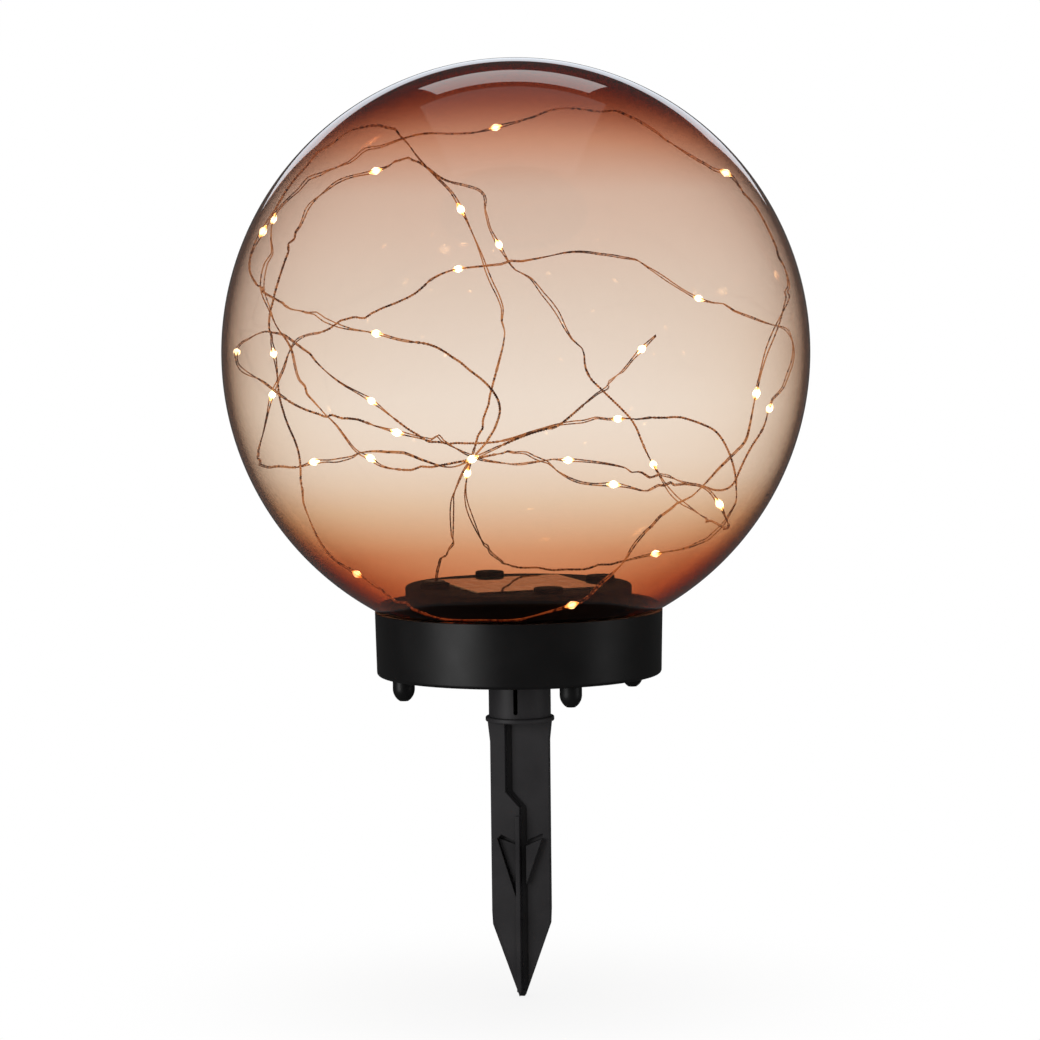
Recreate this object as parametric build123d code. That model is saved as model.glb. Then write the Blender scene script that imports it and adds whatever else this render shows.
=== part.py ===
from build123d import *
from math import asin, cos, degrees, radians, sin, sqrt, tan
import os

# Solar globe light on a ground stake, in millimetres.
# +Z is up, +X is to the right in the front view, and the front faces -Y.
# The origin is on the stake's axis, at the underside of its flange, where the soil comes to.

# Clearances
part_gap = 0.3
slide_clearance = 0.05
screw_clearance = 0.05
leaning_clearance = 0.1

# Ground stake
flange_radius = 11.8
flange_thickness = 1.7
flange_round = 0.5
collar_radius = 10.65
collar_wall = 1.9
collar_showing = 14.6
collar_engaged = 18.0
collar_lead_in = 0.6
slot_width = 1.45
slot_floor = 1.4
stake_turn = -8.0
blade_half_width = 9.8
neck_half_width = 10.6
neck_foot_half_width = 9.85
neck_drop = 6.8
blade_drop = 70.2
stake_drop = 95.4
point_half_width = 0.8
web_half_thickness = 1.2
layer_thickness = 3.0
layer_bevel = 1.6
step_offset = 4.8
jog_top = 24.2
jog_bottom = 29.6
groove_width = 2.1
groove_depth = 1.0
rib_width = 1.35
rib_rise = 0.8
rib_top = 32.5
rib_end_rise = 2.0
barb_tip_drop = 62.3
barb_corner_drop = 40.4
barb_dip = 2.5
barb_reach = 7.6
barb_rise = 2.3
barb_low_rise = 1.15
barb_shadow = 1.5
barb_side_shadow = 0.2

# Base housing
base_height = 21.8
base_top_radius = 49.2
base_bottom_radius = 48.7
base_edge_round = 1.2
floor_thickness = 2.2
cup_radius = 46.9
ledge_radius = 45.2
foot_circle = 42.7
foot_turn = 23.5
foot_radius = 3.75
foot_tip_radius = 1.5
foot_height = 7.0
foot_straight = 2.5
foot_bulge = 3.15
foot_bulge_drop = 5.2
socket_wall = 2.0
socket_roof = 1.9
key_height = 12.0
key_bite = 0.2

# Solar deck
deck_turn = 19.6
deck_flange_radius = 44.3
deck_flange_thickness = 2.0
deck_skirt_radius = 37.3
deck_skirt_wall = 2.0
deck_overhang = 1.5
deck_rise = 8.5
deck_top_thickness = 3.3
deck_edge_round = 0.8
boss_circle = 30.0
boss_radius = 5.0
boss_height = 2.0
boss_round = 0.5
post_radius = 3.5

# Solar panel
panel_side = 45.0
panel_gap = 0.15
panel_recess = 2.0
panel_lead_place = (7.0, 7.0)
adhesive_thickness = 0.4
backing_thickness = 1.0
cover_thickness = 1.2
cover_chamfer = 0.3
cell_thickness = 0.2
cell_count = 8
cell_spacing = 0.3
cell_margin = 1.3

# Globe
globe_radius = 100.0
globe_wall = 1.8
neck_radius = 46.5
neck_wall = 1.8
neck_length = 9.0
seat_outset = 0.95
gasket_thickness = 1.5
gasket_width = 1.6

# Deck screws, their plugs and the string's outlet
screw_radius = 1.4
screw_hole_radius = 1.6
screw_length = 12.0
head_radius = 3.1
head_height = 2.0
head_cross = (3.4, 0.8, 0.9)
counterbore_radius = 3.3
plug_thickness = 1.1
plug_round = 0.3
grommet_radius = 2.6
grommet_lip_radius = 3.5
grommet_lip = 0.8
grommet_round = 0.4

# Circuit board and what is on it
board_length = 34.0
board_width = 24.0
board_thickness = 1.6
board_corner = 1.5
standoff_height = 2.0
standoff_radius = 2.5
standoff_circle = 9.3
board_screw_radius = 1.0
board_screw_length = 4.0
board_head_radius = 1.9
board_head_height = 1.3
board_head_cross = (2.2, 0.5, 0.6)
chip_size = (5.0, 4.0, 1.5)
chip_place = (0.0, 6.5)
chip_leg_size = (0.5, 1.0, 0.5)
chip_leg_pitch = 1.27
chip_leg_rows = 4
inductor_radius = 2.3
inductor_height = 2.6
inductor_rim = 0.6
inductor_groove = 0.6
inductor_place = (1.5, -6.0)
capacitor_radius = 1.2
capacitor_length = 5.0
capacitor_base_length = 4.0
capacitor_place = (-9.5, 6.0)

# Battery, its box and its door
cell_radius = 7.1
cell_length = 49.0
cell_edge_round = 0.6
nub_radius = 2.75
nub_length = 1.5
cell_side_room = 1.0
box_to_socket = 1.0
box_start = -28.6
box_footing = 0.95
box_height = 15.0
contact_thickness = 0.5
contact_width = 8.0
contact_rise = 2.4
spring_room = 5.6
spring_wall = 0.4
spring_bite = 0.15
door_overlap = 1.0
door_gap = 0.25
seal_thickness = 0.5
tongue_width = 8.0
tongue_length = 8.2
tongue_roof_thickness = 1.6
tongue_roof_side = 1.0
door_screw_inset = 3.8
door_screw_radius = 1.25
door_screw_length = 7.0
door_head_radius = 2.3
door_head_height = 1.0
door_head_cross = (2.8, 0.6, 0.6)
door_boss_radius = 3.2
door_boss_height = 9.0

# Slide switch
switch_place = (24.0, 19.0)
switch_size = (6.0, 13.0, 5.5)
switch_cavity = (4.4, 9.0, 3.2)
switch_travel = 2.0
slider_flange = (3.8, 5.6, 1.6)
knob_size = (2.4, 3.0)
knob_proud = 0.6

# Wires
lead_diameter = 1.1
lead_hole_radius = 0.8
lead_lift = 0.02
solder_drop = 0.3
string_diameter = 0.9
corner_share = 0.45
bead_radius = 1.3
bead_length = 3.2
bead_straight = 1.0
bead_end_wall = 0.15
bead_bore_clearance = 0.2
led_chip_size = (0.3, 0.7, 1.4)
led_chip_inset = 0.02

# Where the string is seen from when its route is read
view_distance = 1362.0
view_rise = 49.7
view_lean = 0.65
string_globe_radius = 96.0

# Levels worked out from the sizes above
base_bottom = flange_thickness + collar_showing
floor_top = base_bottom + floor_thickness
rim = base_bottom + base_height
collar_top = base_bottom + collar_engaged
socket_ceiling = collar_top + part_gap
socket_top = socket_ceiling + socket_roof
neck_bottom = rim - neck_length
ledge = neck_bottom - gasket_thickness
deck_top = rim + deck_rise
deck_top_radius = deck_skirt_radius + deck_overhang
deck_ceiling = deck_top - deck_top_thickness
boss_top = deck_top + boss_height
recess_floor = deck_top - panel_recess
backing_bottom = recess_floor + adhesive_thickness
cover_bottom = backing_bottom + backing_thickness
cover_top = cover_bottom + cover_thickness
seat_radius = cup_radius + seat_outset
globe_centre = rim + sqrt(globe_radius ** 2 - seat_radius ** 2)
socket_radius = collar_radius + slide_clearance
board_bottom = socket_top + standoff_height
board_top = board_bottom + board_thickness
counterbore_floor = boss_top - plug_thickness - head_height
box_wall = door_overlap + door_gap + box_footing
box_width = 2 * (cell_radius + cell_side_room)
box_length = cell_length + nub_length + contact_thickness + spring_room
box_end = box_start + box_length
cell_offset = socket_radius + socket_wall + box_to_socket + box_width / 2
door_top = floor_top - seal_thickness
cell_axis = floor_top + part_gap + cell_radius
spring_end = box_start + spring_room
contact_bottom = floor_top + part_gap
contact_top = contact_bottom + 2 * cell_radius + contact_rise
lead_rest = board_top + lead_diameter / 2 + lead_lift

FROM_BELOW = (Align.CENTER, Align.CENTER, Align.MIN)
SCREWED_BOSSES = (0, 90, 270)
OUTLET_BOSS = 180


def disc(radius, bottom, top, x=0.0, y=0.0):
    return Pos(x, y, bottom) * Cylinder(radius, top - bottom, align=FROM_BELOW)


def tube(outer, inner, bottom, top, x=0.0, y=0.0):
    return disc(outer, bottom, top, x, y) - disc(inner, bottom, top, x, y)


def block(width, depth, bottom, top, x=0.0, y=0.0):
    return Pos(x, y, bottom) * Box(width, depth, top - bottom, align=FROM_BELOW)


def on_circle(radius, angle):
    return radius * cos(radians(angle)), radius * sin(radians(angle))


def mirrored(points):
    return [(-across, up) for across, up in points]


def front_plate(points, back, front):
    """A flat plate with this outline in X and Z, from y = -back to y = -front."""
    outline = make_face(Polyline(*points, close=True))
    return Pos(0, -back, 0) * extrude(Plane.XZ * outline, front - back)


def both_faces(front_shape):
    return front_shape + Rot(0, 0, 180) * front_shape


def top_circles(shape):
    return shape.edges().filter_by(GeomType.CIRCLE).group_by(Axis.Z)[-1]


def save(node, shape):
    export_step(shape, f"parts/{node}.step")


# The wires are straight runs joined by tangent arcs.


def corner_radii(route):
    radii = []
    for before, corner, after in zip(route, route[1:], route[2:]):
        arrive = corner - before
        leave = after - corner
        half_turn = radians(arrive.get_angle(leave) / 2)
        radii.append(corner_share * min(arrive.length, leave.length) / tan(half_turn))
    return radii


def wire(name, route, diameter):
    route = [Vector(*point) for point in route]
    radii = corner_radii(route)
    path = FilletPolyline(*route, radius=radii)
    section = Plane(origin=path @ 0, z_dir=path % 0) * Circle(diameter / 2)
    solid = sweep(section, path=path)
    expected = path.length * radians(180) * diameter ** 2 / 4
    share = solid.volume / expected
    print(f"{name}: length {path.length:.1f}, smallest radius {min(radii):.1f}, volume share {share:.4f}")
    print("  radii:", " ".join(f"{radius:.1f}" for radius in radii))
    return solid


# Ground stake


def blade_side():
    """The blade's right edge, from the flange down to the point."""
    return [
        (neck_half_width, 0),
        (neck_foot_half_width, -neck_drop),
        (blade_half_width, -blade_drop),
        (point_half_width, -stake_drop),
    ]


def step_line(shift):
    """The edge between the raised layer and the groove, moved across by a shift, from the top down."""
    return [
        (shift - step_offset, 0),
        (shift - step_offset, -jog_top),
        (shift, -jog_bottom),
        (shift, -stake_drop + rib_end_rise),
    ]


def blade_web():
    right = blade_side()
    left = mirrored(right)[::-1]
    return front_plate(right + left, -web_half_thickness, web_half_thickness)


def raised_layer():
    left = mirrored(blade_side())
    outline = left + step_line(0)[::-1]
    front = web_half_thickness + layer_thickness
    layer = front_plate(outline, 0, front)
    low_edges = [edge for edge in layer.edges() if edge.center().Z < -blade_drop]
    slanted = [edge for edge in low_edges if edge.center().X < -point_half_width]
    front_edge = min(slanted, key=lambda edge: edge.center().Y)
    return chamfer(front_edge, layer_bevel)


def barb_half(side, inner, rise):
    """One triangular half of the barb, with its top edge rising away from the rib."""
    tip_slope = barb_reach / (barb_tip_drop - barb_corner_drop)
    inner_drop = barb_corner_drop + (barb_reach - inner) / tip_slope
    points = [
        (side * inner, -barb_corner_drop - barb_dip),
        (side * barb_reach, -barb_corner_drop),
        (side * inner, -inner_drop),
    ]
    return front_plate(points, 0, web_half_thickness + rise)


def barb_window():
    """The room around the left half of the barb, cut down through the raised layer."""
    reach = barb_reach + barb_side_shadow
    points = [
        (-rib_width, -barb_corner_drop - barb_dip + barb_shadow),
        (-reach + barb_shadow, -barb_corner_drop + barb_shadow),
        (-reach, -barb_corner_drop),
        (-rib_width, -barb_tip_drop + rib_width),
    ]
    return front_plate(points, web_half_thickness, web_half_thickness + layer_thickness + rib_rise)


def ground_stake():
    front = web_half_thickness + layer_thickness
    groove_edge = step_line(groove_width)
    groove_bottom = web_half_thickness - groove_depth
    groove = front_plate(step_line(0) + groove_edge[::-1], groove_bottom, front + rib_rise)
    notch = [
        (groove_width, -barb_corner_drop - barb_dip + barb_shadow),
        (barb_reach, -barb_corner_drop + barb_shadow),
        (barb_reach, -barb_corner_drop),
        (groove_width, -barb_corner_drop - barb_dip),
    ]
    top_notch = front_plate(notch, groove_bottom, front)
    rib = [
        (-rib_width, -rib_top),
        (0, -rib_top),
        (0, -stake_drop + rib_end_rise),
        (-rib_width, -stake_drop + rib_end_rise),
    ]
    blade = blade_web() + both_faces(raised_layer())
    blade -= both_faces(groove + barb_window() + top_notch)
    blade += both_faces(front_plate(rib, 0, front + rib_rise))
    blade += both_faces(barb_half(1, groove_width, barb_rise))
    blade += both_faces(barb_half(-1, rib_width / 2, barb_low_rise))
    flange = disc(flange_radius, 0, flange_thickness)
    flange = fillet(flange.edges().filter_by(GeomType.CIRCLE), flange_round)
    collar = tube(collar_radius, collar_radius - collar_wall, flange_thickness, collar_top)
    collar = chamfer(top_circles(collar).sort_by(SortBy.RADIUS)[-1], collar_lead_in)
    slot_bottom = flange_thickness + slot_floor + slot_width / 2
    slot = block(slot_width, 2 * flange_radius, slot_bottom, collar_top)
    slot += Pos(0, 0, slot_bottom) * Rot(90, 0, 0) * Cylinder(slot_width / 2, 2 * flange_radius)
    return Rot(0, 0, stake_turn) * (blade + flange + (collar - slot))


# Base housing


def foot():
    shoulder = (foot_radius, -foot_straight)
    tip = (foot_tip_radius, -foot_height)
    outline = [
        Line((0, 0), (foot_radius, 0)),
        Line((foot_radius, 0), shoulder),
        ThreePointArc(shoulder, (foot_bulge, -foot_bulge_drop), tip),
        Line(tip, (0, -foot_height)),
        Line((0, -foot_height), (0, 0)),
    ]
    return revolve(Plane.XZ * make_face(outline), Axis.Z)


def board_posts():
    posts = [disc(standoff_radius, socket_top, board_bottom, side * standoff_circle) for side in (-1, 1)]
    pilot_bottom = board_top - board_screw_length
    pilots = [
        disc(board_screw_radius + screw_clearance, pilot_bottom, board_bottom, side * standoff_circle)
        for side in (-1, 1)
    ]
    return posts, pilots


def battery_box():
    middle = (box_start + box_end) / 2
    top = floor_top + box_height
    outer_width = box_width + 2 * box_wall
    outer_length = box_length + 2 * box_wall
    outer = block(outer_width, outer_length, floor_top, top, -cell_offset, middle)
    inner = block(box_width, box_length, base_bottom, top, -cell_offset, middle)
    return outer, inner


def door_outline(grow, bottom, top):
    """The battery door's plate with its screw tongue, grown all round by a gap."""
    middle = (box_start + box_end) / 2
    width = box_width + 2 * door_overlap + 2 * grow
    length = box_length + 2 * door_overlap + 2 * grow
    plate = block(width, length, bottom, top, -cell_offset, middle)
    tongue_middle = box_end + tongue_length / 2 + grow
    tongue = block(tongue_width + 2 * grow, tongue_length, bottom, top, -cell_offset, tongue_middle)
    return plate + tongue, box_end + tongue_length - door_screw_inset


def base_housing():
    cup = Pos(0, 0, base_bottom) * Cone(base_bottom_radius, base_top_radius, base_height, align=FROM_BELOW)
    cup = fillet(cup.edges().group_by(Axis.Z)[0], base_edge_round)
    cup -= disc(cup_radius, ledge, rim) + disc(ledge_radius, floor_top, ledge)
    for angle in range(0, 360, 90):
        x, y = on_circle(foot_circle, foot_turn + angle)
        cup += Pos(x, y, base_bottom) * foot()

    fittings = disc(socket_radius + socket_wall, floor_top, socket_top)
    for angle in SCREWED_BOSSES:
        x, y = on_circle(boss_circle, angle)
        fittings += disc(post_radius, floor_top, deck_ceiling, x, y)
    posts, post_pilots = board_posts()
    box_outer, box_inner = battery_box()
    opening, screw_y = door_outline(door_gap, base_bottom, floor_top)
    door_boss = disc(door_boss_radius, floor_top, floor_top + door_boss_height, -cell_offset, screw_y)
    roof_width = tongue_width + 2 * tongue_roof_side
    roof_top = floor_top + tongue_roof_thickness
    roof_length = tongue_length + door_gap + tongue_roof_side
    roof_middle = box_end + roof_length / 2
    tongue_roof = block(roof_width, roof_length, floor_top, roof_top, -cell_offset, roof_middle)
    fittings += [*posts, box_outer, door_boss, tongue_roof]
    fittings -= post_pilots
    for angle in SCREWED_BOSSES:
        x, y = on_circle(boss_circle, angle)
        pilot_bottom = counterbore_floor - screw_length
        fittings -= disc(screw_radius + screw_clearance, pilot_bottom, deck_ceiling, x, y)
    switch_x, switch_y = switch_place
    knob_width, knob_length = knob_size
    slot_length = knob_length + switch_travel + 2 * part_gap
    slot_wide = knob_width + 2 * part_gap
    knob_slot = block(slot_wide, slot_length, base_bottom, floor_top, switch_x, switch_y)
    pilot_radius = door_screw_radius + screw_clearance
    door_pilot = disc(pilot_radius, door_top, door_top + door_screw_length, -cell_offset, screw_y)
    turned = Rot(0, 0, deck_turn)
    housing = cup + turned * fittings
    housing -= turned * (opening + box_inner + knob_slot + door_pilot)
    housing -= disc(socket_radius, base_bottom, socket_ceiling)
    key = block(slot_width - 2 * leaning_clearance, collar_wall, socket_ceiling - key_height, socket_ceiling)
    key_radius = socket_radius - collar_wall / 2 + key_bite
    for side in (-1, 1):
        housing += Rot(0, 0, stake_turn) * Pos(0, side * key_radius, 0) * key
    return housing


# Solar deck and panel


def solar_deck():
    top_tier = disc(deck_top_radius, deck_ceiling, deck_top)
    top_tier = fillet(top_circles(top_tier), deck_edge_round)
    skirt_inner = deck_skirt_radius - deck_skirt_wall
    flange_bottom = rim - deck_flange_thickness
    skirt = tube(deck_skirt_radius, skirt_inner, flange_bottom, deck_ceiling)
    flange = tube(deck_flange_radius, skirt_inner, flange_bottom, rim)
    deck = top_tier + skirt + flange
    for angle in (*SCREWED_BOSSES, OUTLET_BOSS):
        x, y = on_circle(boss_circle, angle)
        boss = disc(boss_radius, deck_top, boss_top, x, y)
        deck += fillet(top_circles(boss), boss_round)
    for angle in SCREWED_BOSSES:
        x, y = on_circle(boss_circle, angle)
        deck -= disc(screw_hole_radius, deck_ceiling, counterbore_floor, x, y)
        deck -= disc(counterbore_radius, counterbore_floor, boss_top, x, y)
    x, y = on_circle(boss_circle, OUTLET_BOSS)
    deck -= disc(grommet_radius, deck_ceiling, boss_top, x, y)
    recess_side = panel_side + 2 * panel_gap
    deck -= block(recess_side, recess_side, recess_floor, deck_top)
    for x, y in panel_lead_places():
        deck -= disc(lead_hole_radius, deck_ceiling, recess_floor, x, y)
    return deck


def panel_lead_places():
    across, along = panel_lead_place
    return [(side * across, along) for side in (-1, 1)]


def panel_adhesive():
    pad = block(panel_side, panel_side, recess_floor, backing_bottom)
    for x, y in panel_lead_places():
        pad -= disc(lead_hole_radius, recess_floor, backing_bottom, x, y)
    return pad


def solar_cells():
    """A row of long cell strips under the clear cover."""
    inside = panel_side - 2 * cell_margin
    pitch = (inside + cell_spacing) / cell_count
    strips = []
    for number in range(cell_count):
        x = -inside / 2 + pitch * number + (pitch - cell_spacing) / 2
        strips.append(block(pitch - cell_spacing, inside, cover_bottom, cover_bottom + cell_thickness, x))
    return strips


def panel_cover():
    cover = block(panel_side, panel_side, cover_bottom, cover_top)
    cover = chamfer(cover.edges().group_by(Axis.Z)[-1], cover_chamfer)
    return cover - solar_cells()


# Globe


def globe():
    """A ball with a short straight neck, standing on the cup's rim by the ball's last 1 mm."""
    inner_radius = globe_radius - globe_wall
    neck_inner = neck_radius - neck_wall
    neck_top = globe_centre - sqrt(inner_radius ** 2 - neck_inner ** 2)
    ball = Sphere(globe_radius) - Sphere(inner_radius)
    below = disc(globe_radius, -globe_radius, rim - globe_centre)
    shell = Pos(0, 0, globe_centre) * (ball - below)
    neck = tube(neck_radius, neck_inner, neck_bottom, max(neck_top, rim))
    return shell + neck - disc(neck_inner, neck_bottom, neck_top)


# Fasteners and plugs


def cross_slot(size, outer, inward, x, y):
    """A cross cut into a screw's head from the outer level, up (1) or down (-1)."""
    length, width, depth = size
    bottom, top = sorted((outer, outer + inward * depth))
    return block(length, width, bottom, top, x, y) + block(width, length, bottom, top, x, y)


def deck_screws():
    screws = []
    head_top = counterbore_floor + head_height
    for angle in SCREWED_BOSSES:
        x, y = on_circle(boss_circle, angle)
        head = disc(head_radius, counterbore_floor, head_top, x, y)
        head -= cross_slot(head_cross, head_top, -1, x, y)
        screws.append(head + disc(screw_radius, counterbore_floor - screw_length, counterbore_floor, x, y))
    return screws


def screw_plugs():
    plugs = []
    for angle in SCREWED_BOSSES:
        x, y = on_circle(boss_circle, angle)
        plug = disc(counterbore_radius - screw_clearance, boss_top - plug_thickness, boss_top, x, y)
        plugs.append(fillet(top_circles(plug), plug_round))
    return plugs


def wire_grommet():
    x, y = on_circle(boss_circle, OUTLET_BOSS)
    barrel = disc(grommet_radius, deck_ceiling, boss_top, x, y)
    lips = disc(grommet_lip_radius, boss_top, boss_top + grommet_lip, x, y)
    lips = fillet(top_circles(lips), grommet_round)
    lips += disc(grommet_lip_radius, deck_ceiling - grommet_lip, deck_ceiling, x, y)
    bore_radius = string_diameter / 2 + slide_clearance
    return barrel + lips - disc(bore_radius, deck_ceiling - grommet_lip, boss_top + grommet_lip, x, y)


# Circuit board


def circuit_board():
    board = block(board_length, board_width, board_bottom, board_top)
    board = fillet(board.edges().filter_by(Axis.Z), board_corner)
    for side in (-1, 1):
        board -= disc(board_screw_radius + leaning_clearance, board_bottom, board_top, side * standoff_circle)
    return board


def board_screws():
    screws = []
    head_top = board_top + board_head_height
    for side in (-1, 1):
        x = side * standoff_circle
        shank = disc(board_screw_radius, board_top - board_screw_length, board_top, x)
        head = disc(board_head_radius, board_top, head_top, x)
        head -= cross_slot(board_head_cross, head_top, -1, x, 0)
        screws.append(shank + head)
    return screws


def driver_chip():
    length, width, height = chip_size
    leg_width, leg_reach, leg_height = chip_leg_size
    x, y = chip_place
    body = block(length, width, board_top, board_top + height, x, y)
    legs = []
    for number in range(chip_leg_rows):
        leg_x = x + (number - (chip_leg_rows - 1) / 2) * chip_leg_pitch
        for side in (-1, 1):
            leg_y = y + side * (width + leg_reach) / 2
            legs.append(block(leg_width, leg_reach, board_top, board_top + leg_height, leg_x, leg_y))
    return body + legs


def inductor():
    x, y = inductor_place
    top = board_top + inductor_height
    bobbin = disc(inductor_radius, board_top, top, x, y)
    waist_radius = inductor_radius - inductor_groove
    return bobbin - tube(inductor_radius, waist_radius, board_top + inductor_rim, top - inductor_rim, x, y)


def capacitor():
    x, y = capacitor_place
    can = Rot(90, 0, 0) * Cylinder(capacitor_radius, capacitor_length)
    can = Pos(x, y, board_top + capacitor_radius) * can
    base = block(capacitor_radius, capacitor_base_length, board_top, board_top + capacitor_radius, x, y)
    return can + base


# Battery


def battery_cell():
    body = disc(cell_radius, 0, cell_length)
    body = fillet(body.edges().filter_by(GeomType.CIRCLE), cell_edge_round)
    nub = disc(nub_radius, cell_length, cell_length + nub_length)
    return Pos(-cell_offset, spring_end, cell_axis) * Rot(-90, 0, 0) * (body + nub)


def battery_contact():
    y = box_end - contact_thickness / 2
    return block(contact_width, contact_thickness, contact_bottom, contact_top, -cell_offset, y)


def battery_spring():
    """A backing strip with a bent loop of the same strip that presses on the cell."""
    strip_y = box_start + spring_wall / 2
    strip = block(contact_width, spring_wall, contact_bottom, contact_top, -cell_offset, strip_y)
    loop_radius = (spring_room - spring_wall + spring_bite) / 2
    loop_y = spring_end - loop_radius
    loop = Cylinder(loop_radius, contact_width) - Cylinder(loop_radius - spring_wall, contact_width)
    loop -= Pos(loop_radius, -loop_radius / 2, 0) * Box(loop_radius, loop_radius, contact_width)
    loop = Pos(-cell_offset, loop_y, cell_axis) * Rot(0, 90, 0) * loop
    return strip + loop


def battery_door():
    door, screw_y = door_outline(0, base_bottom, door_top)
    door -= disc(door_screw_radius + leaning_clearance, base_bottom, door_top, -cell_offset, screw_y)
    head_top = base_bottom + door_head_height
    return door - disc(door_head_radius + leaning_clearance, base_bottom, head_top, -cell_offset, screw_y)


def door_seal():
    middle = (box_start + box_end) / 2
    outer_length = box_length + 2 * door_overlap
    outer = block(box_width + 2 * door_overlap, outer_length, door_top, floor_top, -cell_offset, middle)
    inner = block(box_width, box_length, door_top, floor_top, -cell_offset, middle)
    return outer - inner


def door_screw():
    screw_y = door_outline(0, base_bottom, door_top)[1]
    head_top = base_bottom + door_head_height
    head = disc(door_head_radius, base_bottom, head_top, -cell_offset, screw_y)
    head -= cross_slot(door_head_cross, base_bottom, 1, -cell_offset, screw_y)
    shank_top = door_top + door_screw_length - part_gap
    return head + disc(door_screw_radius, head_top, shank_top, -cell_offset, screw_y)


# Slide switch


def switch_body():
    x, y = switch_place
    width, length, height = switch_size
    cavity_width, cavity_length, cavity_height = switch_cavity
    body = block(width, length, floor_top, floor_top + height, x, y)
    return body - block(cavity_width, cavity_length, floor_top, floor_top + cavity_height, x, y)


def switch_slider():
    x, y = switch_place
    y -= switch_travel / 2
    flange_width, flange_length, flange_height = slider_flange
    flange_bottom = floor_top + part_gap
    knob_width, knob_length = knob_size
    flange = block(flange_width, flange_length, flange_bottom, flange_bottom + flange_height, x, y)
    return flange + block(knob_width, knob_length, base_bottom - knob_proud, flange_bottom, x, y)


# Leads inside the base


def panel_leads():
    return [disc(lead_diameter / 2, board_top, backing_bottom, x, y) for x, y in panel_lead_places()]


def battery_lead_route(start, inward):
    """From the top of a contact, along the cell and up onto the board."""
    x = -cell_offset
    return [
        (x, start, contact_top - solder_drop),
        (x, start + inward * 6, contact_top),
        (x + 1.5, start + inward * 12, contact_top + 2.6),
        (x + 4, start + inward * 17, lead_rest + 0.5),
        (x + 8, start + inward * 19.5, lead_rest),
    ]


def battery_leads():
    plus = battery_lead_route(box_end - contact_thickness, -1)
    minus = battery_lead_route(box_start + spring_wall, 1)
    return [wire("battery_lead_plus", plus, lead_diameter), wire("battery_lead_minus", minus, lead_diameter)]


def switch_leads():
    x, y = switch_place
    top = floor_top + switch_size[2]
    climb = lead_rest - top
    near = [
        (x, y - 2, top),
        (x, y - 2, top + 0.3 * climb),
        (x - 1, y - 3.5, top + 0.57 * climb),
        (x - 3, y - 6, top + 0.81 * climb),
        (x - 6.5, y - 8.5, lead_rest + 0.2),
        (x - 11, y - 10.5, lead_rest),
    ]
    far = [
        (x, y + 2, top),
        (x, y + 2, top + 0.3 * climb),
        (x - 1.5, y + 0.5, top + 0.57 * climb),
        (x - 4, y - 2.5, top + 0.83 * climb),
        (x - 8, y - 5.5, lead_rest + 0.3),
        (x - 12.5, y - 8, lead_rest),
    ]
    return [wire("switch_lead_near", near, lead_diameter), wire("switch_lead_far", far, lead_diameter)]


def string_lead():
    x, y = on_circle(boss_circle, OUTLET_BOSS)
    route = [
        (-13.5, 0, lead_rest),
        (-18, 0.4, lead_rest),
        (-22, 0.6, lead_rest - 1.6),
        (-25.5, 0.5, lead_rest - 4),
        (-28.5, 0.2, lead_rest - 3.6),
        (x, y, lead_rest - 1.2),
        (x, y, deck_ceiling - grommet_lip),
    ]
    return wire("string_lead", route, lead_diameter)


# Light string


STRING_RISE = 5.5
STRING_LEAD_IN = [
    (-21.5, -66, -0.25), (-22, -56, -0.37), (-21, -46, -0.52), (-15.6, -36.4, -0.72), (-7.5, -27, -0.87),
    (-4.4, -18.5, -0.95), (-9, -10.5, -0.97), (-18, -4, -0.97), (-28, 3, -0.97), (-38, 4, -0.98),
    (-47.3, 6.8, -0.98),
]

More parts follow.
